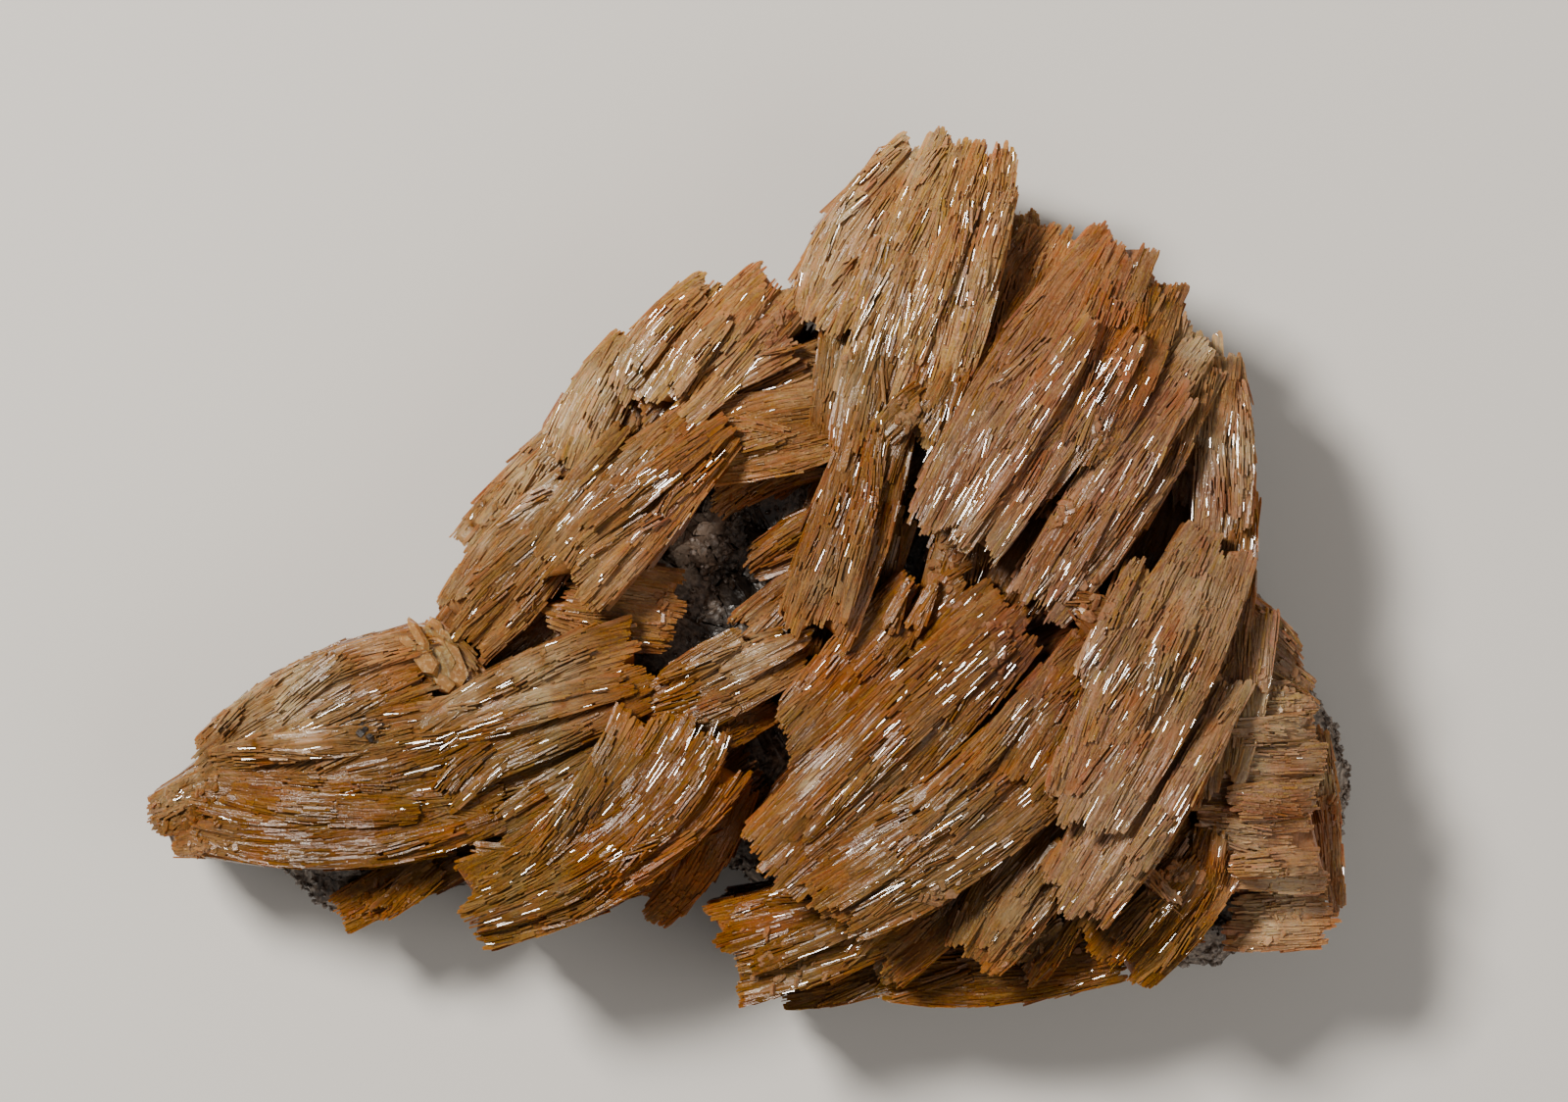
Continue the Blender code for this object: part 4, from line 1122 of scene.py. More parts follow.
def use_group(tree, group, **inputs):
    """The two outputs of a node group."""
    node = add_node(tree, "Group")
    node.node_tree = group
    return feed_all(tree, node, **inputs).outputs


# %% [markdown]
# One function makes every barite finish, from a small palette: the body colour, a paler and a
# deeper one. Where a plate lies deep between its neighbours it is painted darker and redder, as
# painted shade, and its point is paler. Those come from the values that each plate carries. A
# different finish could be painted on, but values on the mesh stay with the plates at any
# resolution.

# %% Barite colours
# The deep colour serves the darkest specks, and the painted shade deep down among the plates.
Palette = namedtuple("Palette", "body pale deep")
PALETTES = {
    "shell": Palette((0.345, 0.158, 0.048), (0.68, 0.39, 0.18), (0.16, 0.055, 0.019)),
    "rose": Palette((0.208, 0.089, 0.036), (0.49, 0.265, 0.14), (0.095, 0.028, 0.010)),
    "honey": Palette((0.198, 0.072, 0.015), (0.45, 0.205, 0.058), (0.07, 0.019, 0.004)),
    "amber": Palette((0.137, 0.048, 0.009), (0.36, 0.155, 0.036), (0.045, 0.011, 0.003)),
    "straw": Palette((0.105, 0.034, 0.001), (0.30, 0.118, 0.009), (0.035, 0.009, 0.001)),
}

# Lightness is 0 at the body's colour and 1 at the pale one. It starts from the first number, and
# each of these values adds its share.
LIGHTNESS = -0.4
LIGHTENING = {"tone": 0.17, "streak": 0.3, "fleck": 0.5, "cloud": 0.5}
PATCH_SCALE = 190.0  # of patches a few millimetres wide
SPECK_SCALE = 4200.0  # of specks a quarter of a millimetre wide
SPECK = 0.7  # and how much lighter and darker they are
DARK_SPECKS = (-0.03, -0.084, 0.35)  # the darkest have the deep colour: from, to, and how much

# What covers that colour, in turn: the value it follows, where it starts and is at its most, its
# tint, how far it hides what is below, and how the two are mixed.
COVERS = (
    ("patch", 0.52, 0.72, (0.30, 0.075, 0.012), 0.6, "MIX"),  # redder patches
    ("patch", 0.47, 0.3, (0.19, 0.115, 0.05), 0.5, "MIX"),  # greyer and greener ones
    ("tone", -0.1, -1.1, (0.15, 0.036, 0.007), 0.4, "MIX"),  # single plates that are rustier
    ("tone", 0.2, 1.3, (0.38, 0.195, 0.08), 0.4, "MIX"),  # or milkier than their neighbours
    ("hue", 0.1, 1.6, (1.0, 0.98, 0.45), 1, "MULTIPLY"),  # or yellower
    ("hue", -0.1, -1.6, (0.96, 0.82, 1.0), 1, "MULTIPLY"),  # or more mauve
)

# The colour of each stain, and how far it hides the body colour where it is strongest.
STAIN_COLOURS = {
    # The red tint of the first stain is partly a painted glow, and the pale tint of the last is
    # partly painted light.
    "ember": ((0.42, 0.105, 0.012), 0.75),
    "olive": ((0.16, 0.115, 0.045), 0.75),
    "plum": ((0.13, 0.045, 0.038), 0.7),
    "tea": ((0.095, 0.031, 0.003), 0.75),
    "frost": ((0.62, 0.43, 0.24), 0.8),
}
STAIN_SPOTS = (0.25, 0.6)  # where the spots that break up the stains start and end

# Last come the pale point, and the deep colour far down, which is painted shade: from, to, and how
# much.
POINT_COVER = (0.75, 1.0, 0.25)
DEPTH_PAINTED_SHADE = (1.2, 10.0, 0.65)

# %% Barite finishes
IOR = 1.64
DULL_FLECKS = (0.35, 0.75)  # where flecks of weathered face start and end
SPARKLES = (0.56, 0.64)  # and specks of sparkle
SPECK_BUMP, STREAK_BUMP = 0.8, 0.6
BUMP_DEPTH = 0.00008  # in metres, as the next one
HAZE_DEPTH = 0.0013
COAT_ROUGHNESS = 0.05
LIGHT_REACH = (1.0, 0.42, 0.16)  # how far red, green and blue travel inside, against each other
GLEAM_POLISH = 0.8  # share of its roughness that a glinting plate loses

# What differs between the plates, whose flat edges mirror the light, and the fine fibres of the
# bodies: the roughness of their clean and of their weathered faces, how much smoother the specks
# of sugary sparkle are, how much they mirror, the clear coat of a glint, the light let in, and
# the bump.
Surface = namedtuple("Surface", "gloss dull sparkle mirror coat haze bump")
PLATE_SURFACE = Surface(0.15, 0.40, 0.75, 0.16, 0.8, 0.45, 0.55)
FIBRE_SURFACE = Surface(0.26, 0.46, 0.6, 0.13, 0.0, 0.5, 0.6)


def barite_colour(tree, palette, values):
    lightness = LIGHTNESS
    for name, share in LIGHTENING.items():
        lightness = times_plus(tree, values[name], share, lightness)
    speck = times_plus(tree, values["speck"], SPECK, -SPECK / 2)
    colour = blend(tree, maths(tree, "ADD", lightness, speck), palette.body, palette.pale)
    low, high, most = DARK_SPECKS
    colour = cover(tree, colour, speck, low, high, palette.deep, most)
    for name, *rest in COVERS:
        colour = cover(tree, colour, values[name], *rest)
    broken = stretch(tree, values["spot"], *STAIN_SPOTS)
    for kind, (tint, most) in STAIN_COLOURS.items():
        share = times(tree, times(tree, read_value(tree, kind), most), broken)
        colour = blend(tree, share, colour, tint)
    # The pale point, then painted shade in the deep colour where the depth below the face is great.
    for name, tint, (low, high, most) in (
        ("tip", palette.pale, POINT_COVER), ("depth", palette.deep, DEPTH_PAINTED_SHADE),
    ):
        colour = cover(tree, colour, read_value(tree, name), low, high, tint, most)
    return colour


def barite(name, palette, face):
    material, tree, shader = new_material(name)
    streak, fleck = use_group(tree, FIBRE_GRAIN)
    cloud, spot = use_group(tree, STAIN)
    patch, speck = use_group(tree, STAIN, Broad=PATCH_SCALE, Fine=SPECK_SCALE)
    tone, hue, gleam = (read_value(tree, key) for key in ("tone", "hue", "gleam"))
    values = {
        "tone": tone, "streak": streak, "fleck": fleck, "cloud": cloud, "spot": spot,
        "patch": patch, "speck": speck, "hue": hue,
    }
    dull = stretch(tree, fleck, *DULL_FLECKS)
    rough = times_plus(tree, dull, face.dull - face.gloss, face.gloss)
    sparkle = times_plus(tree, stretch(tree, speck, *SPARKLES), -face.sparkle, 1.0)
    polish = times_plus(tree, gleam, -GLEAM_POLISH, 1.0)
    grains = times_plus(tree, speck, SPECK_BUMP, times(tree, streak, STREAK_BUMP))
    add_bump(tree, shader, grains, times_plus(tree, gleam, -face.bump, face.bump), BUMP_DEPTH)
    feed_all(
        tree, shader, Base_Color=barite_colour(tree, palette, values),
        Roughness=times(tree, times(tree, rough, sparkle), polish),
        IOR=IOR, Specular_IOR_Level=face.mirror, Coat_Roughness=COAT_ROUGHNESS,
        Subsurface_Weight=face.haze, Subsurface_Scale=HAZE_DEPTH, Subsurface_Radius=LIGHT_REACH,
    )
    if face.coat:
        feed_all(tree, shader, Coat_Weight=times(tree, gleam, face.coat))
    return material


PLATES, FIBRES = (
    {kind: barite(f"{kind}_{part}", palette, face) for kind, palette in PALETTES.items()}
    for part, face in (("plates", PLATE_SURFACE), ("fibres", FIBRE_SURFACE))
)
# The palette of each group of sheaves, from the pale shell to the dark straw.
GROUP_FINISHES = {
    "crown": "shell", "shoulder": "rose", "column": "amber", "breast": "amber", "crest": "rose",
    "skirt": "straw", "side": "rose", "brow": "shell", "cheek": "honey", "wing": "straw",
    "fill": "amber", "lower": "amber",
}


# %% Rock finishes and waxy barite
# Rusty rock, rock painted pale as painted light, whose tint each finish gives, and rock painted
# black as painted shade: where each starts and is at its most, its tint, and how much it hides
RUST = (0.52, 0.75, (0.09, 0.042, 0.02), 0.6)
ROCK_PAINTED_LIGHT = (0.0, 1.2)
ROCK_PAINTED_SHADE = (0.0, -1.1, (0.012, 0.009, 0.007), 1)
WAXY_COLOURS = ((0.50, 0.26, 0.085), (0.26, 0.10, 0.022), (0.62, 0.40, 0.19))


def rock(name, dark, light, painted_light_colour, gloss):
    material, tree, shader = new_material(name)
    cloud, spot = use_group(tree, STAIN, Broad=260.0, Fine=1900.0)
    pale = read_value(tree, "pale")
    colour = blend(tree, stretch(tree, spot, 0.42, 0.7), dark, light)
    colour = cover(tree, colour, cloud, *RUST)
    # Painted light where the pale value is above 0, and painted black shade where it is below 0.
    colour = cover(tree, colour, pale, *ROCK_PAINTED_LIGHT, painted_light_colour, 1)
    colour = cover(tree, colour, pale, *ROCK_PAINTED_SHADE)
    rough = times_plus(tree, spot, 0.5, gloss - 0.2)
    add_bump(tree, shader, spot, 0.5, 0.0002)
    feed_all(tree, shader, Base_Color=colour, Roughness=rough, IOR=1.6)
    return material


# The fourth colour of each finish is its painted light.
ROCK = rock("dark_rock", (0.09, 0.064, 0.046), (0.40, 0.31, 0.24), (0.74, 0.62, 0.50), 0.35)
GRAIN = rock("rock_grain", (0.075, 0.052, 0.038), (0.42, 0.34, 0.28), (0.80, 0.70, 0.60), 0.2)
BLACK = rock("black_grain", (0.012, 0.009, 0.008), (0.05, 0.04, 0.035), (0.02, 0.02, 0.02), 0.15)


def waxy_barite():
    """Clear, waxy, pale golden barite, for the few broader crystals."""
    material, tree, shader = new_material("waxy_barite")
    cloud, spot = use_group(tree, STAIN, Broad=420.0, Fine=2400.0)
    body, deep, pale = WAXY_COLOURS
    colour = cover(tree, blend(tree, cloud, body, deep), spot, 0.5, 0.75, pale, 1)
    add_bump(tree, shader, cloud, 0.35, 0.0003)
    feed_all(
        tree, shader, Base_Color=colour, Roughness=times_plus(tree, spot, 0.3, 0.02), IOR=IOR,
        Transmission_Weight=0.2, Subsurface_Weight=0.5, Subsurface_Scale=0.002,
        Subsurface_Radius=LIGHT_REACH, Coat_Weight=0.5, Coat_Roughness=0.03,
    )
    return material


WAXY = waxy_barite()
print("finishes:", [material.name for material in bpy.data.materials])

# %% [markdown]
# ## The bodies of the sheaves
# Between and behind the plates each sheaf is solid barite: finer fibres, grown together, which
# stand a tenth of a millimetre lower than the plates. A plain box would show through the gaps as a
# box, so the body is a loft of the same map with the same relief, and fine ridges along the fibres
# on top. A displaced subdivision surface would need ten times the faces for the same ridges.

# %% Values of the bodies
CORE_UNDER = 0.10  # how far the body stays below the plates' upper edges
CORE_STEP = 0.17  # spacing of its points across a sheaf
CORE_RING = 0.95  # and along it
CORE_SIDE = 0.3  # how far it stays inside the walls
CORE_END = 0.75  # and short of the ends
CORE_FLOOR = 1.2  # and above the underside
CORE_WALL = 1.4  # spacing of its points down a wall
CORE_TONE = -0.1
CORE_BRINK = 0.9  # share of the half width past which the body's edge begins
EDGE_DROP = 1.6  # the deepest that cracks cut that edge
WALL_TOP = 2.2  # depth at which the walls begin
WALL_LAYER = (7.0, 1.2)  # length and height of the steps on its walls
WALL_STEP = 0.3
FLOOR_PLACE = 0.4  # where its floor's two points lie
HAIR = (3.2, 0.34)  # length and width of the fine ridges
HAIR_RISE = 0.07
COARSE = 2.6  # how much coarser the bodies of the lower tier are


# %% One body
def ring_of(bundle, coarse):
    """Places round a body: share across, nominal depth, and side: 0 face, -1 or 1 wall, 2 floor."""
    top = np.linspace(-1, 1, max(9, round(max(bundle.sheaf.widths) / (CORE_STEP * coarse))))
    floor = bundle.sheaf.depth - CORE_FLOOR
    wall = np.linspace(WALL_TOP, floor, max(3, round(floor / (CORE_WALL * coarse))))
    ring = [(place, 0.0, 0) for place in top] + [(1.0, depth, 1) for depth in wall]
    ring += [(FLOOR_PLACE, floor, 2), (-FLOOR_PLACE, floor, 2)]
    return ring + [(-1.0, depth, -1) for depth in wall[::-1]]


def body_reach(bundle, place, end):
    """How far the body runs past the sheaf's nominal end, mostly less than 0."""
    sideways = place * half_width(bundle, bundle.length * end)
    return float(reach(bundle, place, end)) - CORE_END - shortfall(bundle, sideways, end)


def body_point(bundle, distance, place, depth, side):
    """Depth, step inwards, lightness and way round of one point of a body."""
    sideways = place * half_width(bundle, distance)
    tone = tone_at(bundle, distance, sideways) + CORE_TONE
    if side:
        wave = ripple(bundle, distance, depth + 40 * side, WALL_LAYER, 12) if side < 2 else 0.0
        return depth, WALL_STEP * wave, tone, sideways + side * depth
    height = relief(bundle, distance, sideways)
    height += HAIR_RISE * ripple(bundle, distance, sideways, HAIR, 11)
    below = CORE_UNDER - height
    return min(below, EDGE_DROP) if abs(place) > CORE_BRINK else below, 0.0, tone, sideways


def body_of(bundle, coarse):
    """Points of a closed loft, with its faces, UVs and values."""
    ring = ring_of(bundle, coarse)
    rings, size = max(6, round(bundle.length / (CORE_RING * coarse))), len(ring)
    ends = [(-body_reach(bundle, place, 0), bundle.length + body_reach(bundle, place, 1))
            for place, _, _ in ring]
    shares = np.linspace(0, 1, rings)
    distance = np.array([[a + (b - a) * share for a, b in ends] for share in shares])
    below, step, tone, around = np.moveaxis(np.array([
        [body_point(bundle, at, *place) for at, place in zip(row, ring)] for row in distance
    ]), -1, 0)
    half = through(bundle.sheaf.widths, np.clip(distance / bundle.length, 0.0, 1.0)) / 2
    inset = (CORE_SIDE + step) / np.maximum(half, 0.5)
    across = np.array([place for place, _, _ in ring]) * np.clip(1 - inset, 0.2, 1)
    points = surface(bundle, distance, across, below)[0]
    faces = []
    for i in range(rings - 1):
        a, b = i * size, (i + 1) * size
        for j in range(size):
            k = (j + 1) % size
            faces += [(a + j, b + j, b + k), (a + j, b + k, a + k)]
    first, last, base = rings * size, rings * size + 1, (rings - 1) * size
    for j in range(size):
        k = (j + 1) % size
        faces += [(first, j, k), (last, base + k, base + j)]

    def with_caps(grid, *caps):
        return np.concatenate((grid.reshape(-1), caps or (0.0, 0.0)))

    uv = np.stack(
        (with_caps(distance, distance[0].mean(), distance[-1].mean()), with_caps(around)), axis=-1
    )
    middle = bundle.sheaf.depth / 2
    # depth below the face, for the painted shade of the finish
    values = {
        "tone": with_caps(tone, tone[0].mean(), tone[-1].mean()),
        "depth": with_caps(below, middle, middle),
    } | {key: with_caps(below * 0) for key in ("tip", "gleam", "hue")}
    points = np.concatenate((points.reshape(-1, 3), points[[0, -1]].mean(axis=1)))
    faces = np.array(faces)
    return points, faces, uv[faces.reshape(-1)], values | stains_at(points)


# %% The bodies and the plates of each group
for name, finish in GROUP_FINISHES.items():
    lower = name == "lower"
    parts = [body_of(bundle, COARSE if lower else 1.0) for bundle in BUNDLES[name]]
    barite_piece(f"{name}_bodies", parts, FIBRES[finish]).data.shade_smooth()
    clad(f"{name}_plates", BUNDLES[name], PLATES[finish], LOWER_PITCH if lower else PITCH)

# %% [markdown]
# ## The host rock
# The rock under the crust is dark, coarse and crumbly: dense grains a millimetre or less across,
# some of them with flat faces that catch the light. Sculpting would do it, but the rock can be
# derived from its solid: the same faces, divided finer, then pushed in and out by noise of
# several sizes. Loose angular grains are added where the rock can be seen.

# %% Values of the rock
ROCK_DIVISIONS = 5
ROCK_WAVES = ((2.6, 0.42), (0.95, 0.3), (0.45, 0.16))  # size of the grains and their height, mm
ROCK_LEVEL = 0.35
FLAT_BACK = 0.6  # height under which the rock keeps its flat resting face
# Where the rock is painted paler, as painted light with one small painted glint, or, with a
# strength below 0, painted black, as painted shade: x, y, reach in mm, strength.
PAINTED_LIGHT_AND_SHADE_ON_ROCK = table("""
    -9.4 6 2.5 1.3, -10.8 2 2.5 0.4, -7.3 -1.8 0.7 1, -12 -5.5 2 0.3, -2 6.5 3.2 -1,
    -4.2 -0.4 2.6 -1.2, -6.5 -5 3 -1, -14 0.5 1.8 -0.8, -13 6.5 1.6 -0.8, 0.5 -8 4 -0.8,
    -28 -25 4 -0.6
""")
GRAIN_COUNT = 1500
GRAIN_SIZES = (0.35, 1.5, 0.6)  # smallest, largest and commonest
GRAIN_SHAPE = (0.6, 1.2)  # range of each of its three sides, against its size
GRAIN_DENT = (0.7, 1.0)  # and of how far its corners stand out
GRAIN_AREA = 1.1  # square millimetres of rock for each grain
GRAIN_OUT = 0.1  # how far its middle stands out of the rock
OPEN_VIEW = 4.0  # a grain is laid where nothing stands within this distance over it
LOW_ROCK = 12.0  # and, higher up than this, nothing above it
UP, DOWN = Vector((0, 0, 1)), Vector((0, 0, -1))
TOP = 60.0  # height from which rays are cast down
FAR = 40.0


# %% The rock's body
def put(vert, place):
    """Moves a point to this place in mm, inside the box of the solids."""
    vert.co = Vector(np.clip(place, BOX_LOW, BOX_HIGH)) * MM


def mesh_from(bm, name):
    """A finished mesh, which keeps the rock's painted light and painted shade at each point."""
    mesh = bpy.data.meshes.new(name)
    bm.to_mesh(mesh)
    bm.free()
    places = np.empty(len(mesh.vertices) * 3, np.float32)
    mesh.vertices.foreach_get("co", places)
    # pale holds the painted light of the rock, and below 0 its painted shade.
    pale = sum(spots_at(PAINTED_LIGHT_AND_SHADE_ON_ROCK, places.reshape(-1, 3) / MM), np.zeros(len(mesh.vertices)))
    store(mesh, {"pale": pale})
    return mesh


def grainy(place):
    """How far the rock stands out at this place, in mm: cells of several sizes."""
    height = 0.0
    for size, rise in ROCK_WAVES:
        near, _ = noise.voronoi(place / size)
        height += rise * (near[1] - near[0] - ROCK_LEVEL)
    return height


def rock_body():
    bm = bmesh.new()
    bm.from_mesh(frame["nodes"]["host_rock"].data)
    bmesh.ops.subdivide_edges(bm, edges=bm.edges, cuts=ROCK_DIVISIONS, use_grid_fill=True)
    bmesh.ops.triangulate(bm, faces=bm.faces)
    bm.normal_update()
    places = []
    for vert in bm.verts:
        place = vert.co / MM
        firm = min(1.0, max(0.0, (place.z - 0.01) / FLAT_BACK))
        places.append(place + vert.normal * grainy(place) * firm)
    for vert, place in zip(bm.verts, places):
        put(vert, place)
    piece = add_piece(mesh_from(bm, "rock_body"), ROCK)
    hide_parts("host_rock")


# %% Its grains
def grain_spots(dice):
    """Places on the rock in open view, and the way it faces there."""
    solid = frame["nodes"]["host_rock"].data
    for face in solid.polygons:
        corners = [solid.vertices[i].co / MM for i in face.vertices]
        for _ in range(1 + int(face.area / MM**2 / GRAIN_AREA)):
            a, b = sorted((dice.random(), dice.random()))
            spot = corners[0] * a + corners[1] * (b - a) + corners[2] * (1 - b)
            if spot.z < 1.0 or CRUST_TREE.ray_cast(spot, face.normal, OPEN_VIEW)[0]:
                continue
            if spot.z < LOW_ROCK or CRUST_TREE.ray_cast(spot, UP, FAR)[0] is None:
                yield spot, face.normal.copy()


def rock_grains():
    dice = random.Random("grains")
    spots = list(grain_spots(dice))
    dice.shuffle(spots)
    bm = bmesh.new()
    for spot, normal in spots[:GRAIN_COUNT]:
        made = bmesh.ops.create_icosphere(bm, subdivisions=1, radius=1.0)["verts"]
        size = dice.triangular(*GRAIN_SIZES)
        sizes = Vector([size * dice.uniform(*GRAIN_SHAPE) for _ in range(3)]) / 2
        turn = Vector([dice.uniform(-1, 1) for _ in range(3)])
        spin = turn.normalized().to_track_quat("Z", "Y").to_matrix()
        for vert in made:
            dent = dice.uniform(*GRAIN_DENT)
            shape = Vector(a * b for a, b in zip(vert.co, sizes)) * dent
            put(vert, spot + normal * GRAIN_OUT + spin @ shape)
    add_piece(mesh_from(bm, "rock_grains"), GRAIN)


rock_body()
rock_grains()

# %% [markdown]
# ## Loose chips and crystals
# Broken plates lie about in the crevices, and the end of the wing is a crumble of them. A few
# waxy crystals stand where the wing meets the cheek, and one dark grain sits in the wing. They are
# all small flat crystals: an outline with six corners, given a thickness. Each table row is a spot
# with its reach and how many chips lie there, and a ray cast straight down finds the surface they
# rest on. A physics simulation could drop them, but they have in fact grown or stuck in place.

# %% Where the chips lie
# x, y, reach, count, and the shortest and longest chip, in mm
CRUMBS = table("""
    -62 -23 4 110 0.5 1.9, -58.5 -16 2.2 22 0.4 1.3, -59 -27.5 2.5 36 0.5 1.6, -47 -7 3 16 0.4 1.2,
    -30 8 3.5 22 0.4 1.4, -24 14 3 12 0.4 1.2, -25 -5 1.5 10 0.5 1.6, -6 -14 3 24 0.5 2,
    17 2.5 3 34 0.6 2.6, 28 8.5 2.5 20 0.6 2.4, 31 -2 3 26 0.6 2.6, 15 -31 2.5 18 0.6 2,
    39 -28.5 3 30 0.6 2.4, 25 -36 5 40 0.6 2, 51 -10.5 3 44 0.5 2, 50 -32 3.5 24 0.5 1.6,
    12 18 2 14 0.6 2.2, 34 22 1.2 8 0.6 2.2, 31 15 2 14 0.6 2.2, -1 27 1.8 14 0.6 2.2,
    -14.5 17 1.8 12 0.5 1.6, -5 9 2 8 0.5 1.6, 6 22.5 2 14 0.5 1.8, 0 -38 5 40 0.5 1.8,
    48 -35 4 20 0.5 1.6, 55.5 -22 2.5 24 0.5 1.6, -41 -31.5 3.5 26 0.5 1.6, 21 -5.5 3 20 0.6 2.2,
    -12 -1.5 2.5 12 0.6 1.8
""")
CHIP_FLOOR = 8.0  # no chips lie lower than this
CHIP_OVER = 0.12  # how far a chip's middle lies over what it rests on
CHIP_TURNS = ((55, 35), (0, 22), (0, 35))  # middle and spread of its yaw, pitch and roll
CHIP_WIDE, CHIP_THICK = (0.35, 0.7), 0.22  # width and thickness against length
TABLET_TIP = (0.55, 0.8)  # where along a crystal its slanted ends begin
TABLET_ROUGH = (0.85, 1.1)  # how uneven its outline is
TABLET_TOP = 0.84  # size of its upper face against the lower one
TOPS = tree_of([piece.data for piece in bpy.data.objects if piece.name.endswith("_bodies")])


def rest_on(x, y):
    """The place where something dropped here comes to rest, or None."""
    return TOPS.ray_cast(Vector((x, y, TOP)), DOWN)[0]


# %% One flat crystal
def tablet(bm, centre, length, width, thick, turn, dice):
    """Adds a six-cornered tablet. turn is its yaw, pitch and roll in degrees."""
    spin = Euler([math.radians(angle) for angle in turn[::-1]]).to_matrix()
    tip = dice.uniform(*TABLET_TIP)
    outline = [(1, 0.15), (tip, 1), (-tip, 0.85), (-1, 0), (-tip, -1), (tip, -0.8)]
    under, upper = [], []
    for ring, height, share in ((under, -1, 1.0), (upper, 1, TABLET_TOP)):
        for x, y in outline:
            rough = dice.uniform(*TABLET_ROUGH)
            shape = Vector((x * length * share * rough, y * width * share, height * thick)) / 2
            ring.append(bm.verts.new())
            put(ring[-1], centre + spin @ shape)
    bm.faces.new(under[::-1])
    bm.faces.new(upper)
    for i in range(6):
        j = (i + 1) % 6
        bm.faces.new((under[i], under[j], upper[j], upper[i]))


def small_piece(name, bm, material):
    bmesh.ops.triangulate(bm, faces=bm.faces)
    mesh = mesh_from(bm, name)
    points = np.array([vert.co / MM for vert in mesh.vertices])
    corners = points[[loop.vertex_index for loop in mesh.loops]]
    uv = mesh.uv_layers.new(name="fibre")
    uv.data.foreach_set("uv", (corners[:, :2] + corners[:, 2:] * 0.7).astype(np.float32).ravel())
    plain = {key: points[:, 0] * 0 for key in ("tone", "depth", "tip", "gleam", "hue")}
    store(mesh, stains_at(points) | plain)
    add_piece(mesh, material)


# %% Chips
def chips(name, wanted, material):
    """Chips on the spots of the table that wanted picks."""
    dice = random.Random(name)
    bm = bmesh.new()
    for x, y, size, count, small, large in CRUMBS:
        for _ in range(int(count) if wanted(x) else 0):
            hit = rest_on(dice.gauss(x, size / 2), dice.gauss(y, size / 2))
            if hit is None or hit.z < CHIP_FLOOR:
                continue
            length = dice.triangular(small, large, small * 1.5)
            turn = [dice.gauss(*spread) for spread in CHIP_TURNS]
            width, thick = length * dice.uniform(*CHIP_WIDE), length * CHIP_THICK
            tablet(bm, hit + UP * CHIP_OVER, length, width, thick, turn, dice)
    small_piece(name, bm, material)


chips("wing_chips", lambda x: x < -20, PLATES["straw"])
chips("chips", lambda x: x >= -20, PLATES["rose"])

# %% Waxy crystals and the dark grain
# x, y, height over the crust, length, width, thickness, then yaw, pitch and roll in degrees
WAXY_CRYSTALS = table("""
    -37.4 -4.7 0.8 4.2 1 0.7 120 12 -24, -36.4 -5.6 0.5 5.2 2.4 0.9 118 5 8,
    -35.2 -6.8 0.4 6 2.8 0.9 114 -5 -6, -33.8 -7.7 0.3 5.6 2.6 0.9 108 -4 10,
    -36.8 -7.2 0.2 4.6 2.2 0.8 122 -6 -8, -35 -9 0.2 4.4 2.2 0.8 110 -7 8,
    -32.6 -8.8 0.2 4.2 2 0.7 102 -5 -8, -35.6 -4.4 0.3 3.4 1.8 0.7 104 8 12,
    -34.4 -5.6 0.6 3.8 1.1 0.6 112 2 22, -33.4 -9.9 0.2 3 1.4 0.6 96 -4 8,
    -38.4 -5.6 0.2 2.6 1.2 0.6 134 6 10
""")
DARK_PLACE = ((-42.5, 0.55), (-14.3, 0.35))  # x and y, each with its spread
DARK_BITS = 14
DARK_SIZES = (0.5, 1.1)


def waxy_crystals():
    dice = random.Random("waxy")
    bm = bmesh.new()
    for x, y, over, length, width, thick, *turn in WAXY_CRYSTALS:
        hit = rest_on(x, y)
        if hit is not None:
            tablet(bm, hit + UP * over, length, width, thick, turn, dice)
    small_piece("waxy_crystals", bm, WAXY)


def dark_grain():
    dice = random.Random("dark")
    bm = bmesh.new()
    for _ in range(DARK_BITS):
        hit = rest_on(*(dice.gauss(*place) for place in DARK_PLACE))
        size = dice.uniform(*DARK_SIZES)
        turn = (dice.uniform(0, 360), dice.gauss(0, 30), dice.gauss(0, 30))
        tablet(bm, hit + UP * 0.1, size, size * 0.8, size * 0.6, turn, dice)
    small_piece("dark_grain", bm, BLACK)


waxy_crystals()
dark_grain()

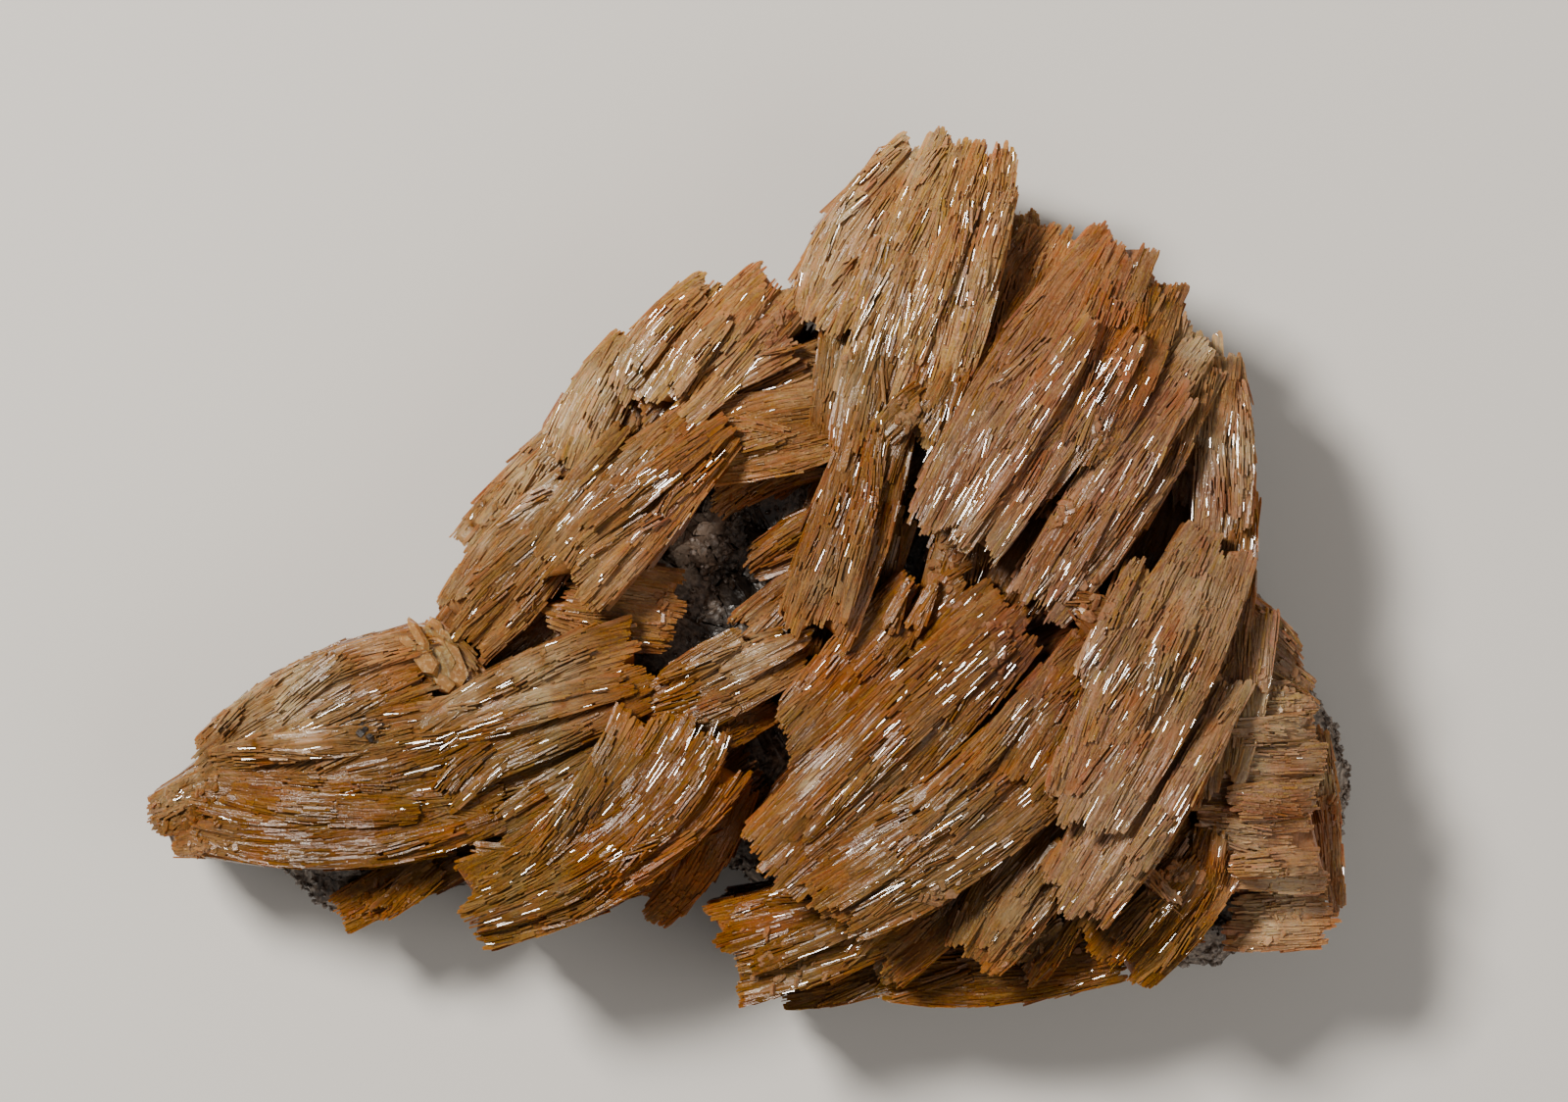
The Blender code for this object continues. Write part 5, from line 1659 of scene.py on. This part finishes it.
# %% [markdown]
# ## Floor, light and camera
# The specimen lies face up and is seen from straight above. One soft box high on the upper left
# gives the glints on the plates' edges, a broad one on the other side keeps the shadows open, and
# the world is a plain grey.

# %% Floor
FLOOR_COLOUR, LAMP_COLOUR, SKY_COLOUR = (0.62, 0.60, 0.57), (1.0, 0.95, 0.88), (0.82, 0.80, 0.78)
bpy.ops.mesh.primitive_plane_add(size=4.0, location=(0, 0, 0))
floor = bpy.context.object
floor.name = "floor"
pale_floor, floor_tree, floor_shader = new_material("pale_floor")
feed_all(floor_tree, floor_shader, Base_Color=FLOOR_COLOUR, Roughness=0.7)
floor.data.materials.append(pale_floor)


# %% Lights
def soft_box(name, place, size, watts, target=(0.0, 0.0, 0.02)):
    lamp = bpy.data.lights.new(name, "AREA")
    lamp.shape, lamp.size, lamp.energy, lamp.color = "SQUARE", size, watts, LAMP_COLOUR
    box = bpy.data.objects.new(name, lamp)
    box.location = place
    box.rotation_euler = (Vector(target) - Vector(place)).to_track_quat("-Z", "Y").to_euler()
    bpy.context.scene.collection.objects.link(box)


soft_box("key", LAMP_PLACE, size=0.2, watts=15.0)
soft_box("fill", (0.7, -0.4, 0.9), size=0.9, watts=4.0)
world = bpy.data.worlds.new("studio")
world.use_nodes = True
sky = world.node_tree.nodes["Background"]
feed_all(world.node_tree, sky, Color=SKY_COLOUR, Strength=0.28)
bpy.context.scene.world = world

# %% Camera
CAMERA_HEIGHT = 1.0
CAMERA_Y = 0.0038
CRUST_HEIGHT = 0.025  # where the view is as wide as the next line says
VIEW_WIDTH = 0.160
SENSOR = 36.0
camera = bpy.data.objects.new("camera", bpy.data.cameras.new("camera"))
camera.data.sensor_width = SENSOR
camera.data.lens = SENSOR * (CAMERA_HEIGHT - CRUST_HEIGHT) / VIEW_WIDTH
camera.location = (0.0, CAMERA_Y, CAMERA_HEIGHT)
camera.data.clip_start, camera.data.clip_end = 0.05, 10.0
bpy.context.scene.collection.objects.link(camera)
bpy.context.scene.camera = camera
print(f"camera {CAMERA_HEIGHT} m up, lens {camera.data.lens:.0f} mm")
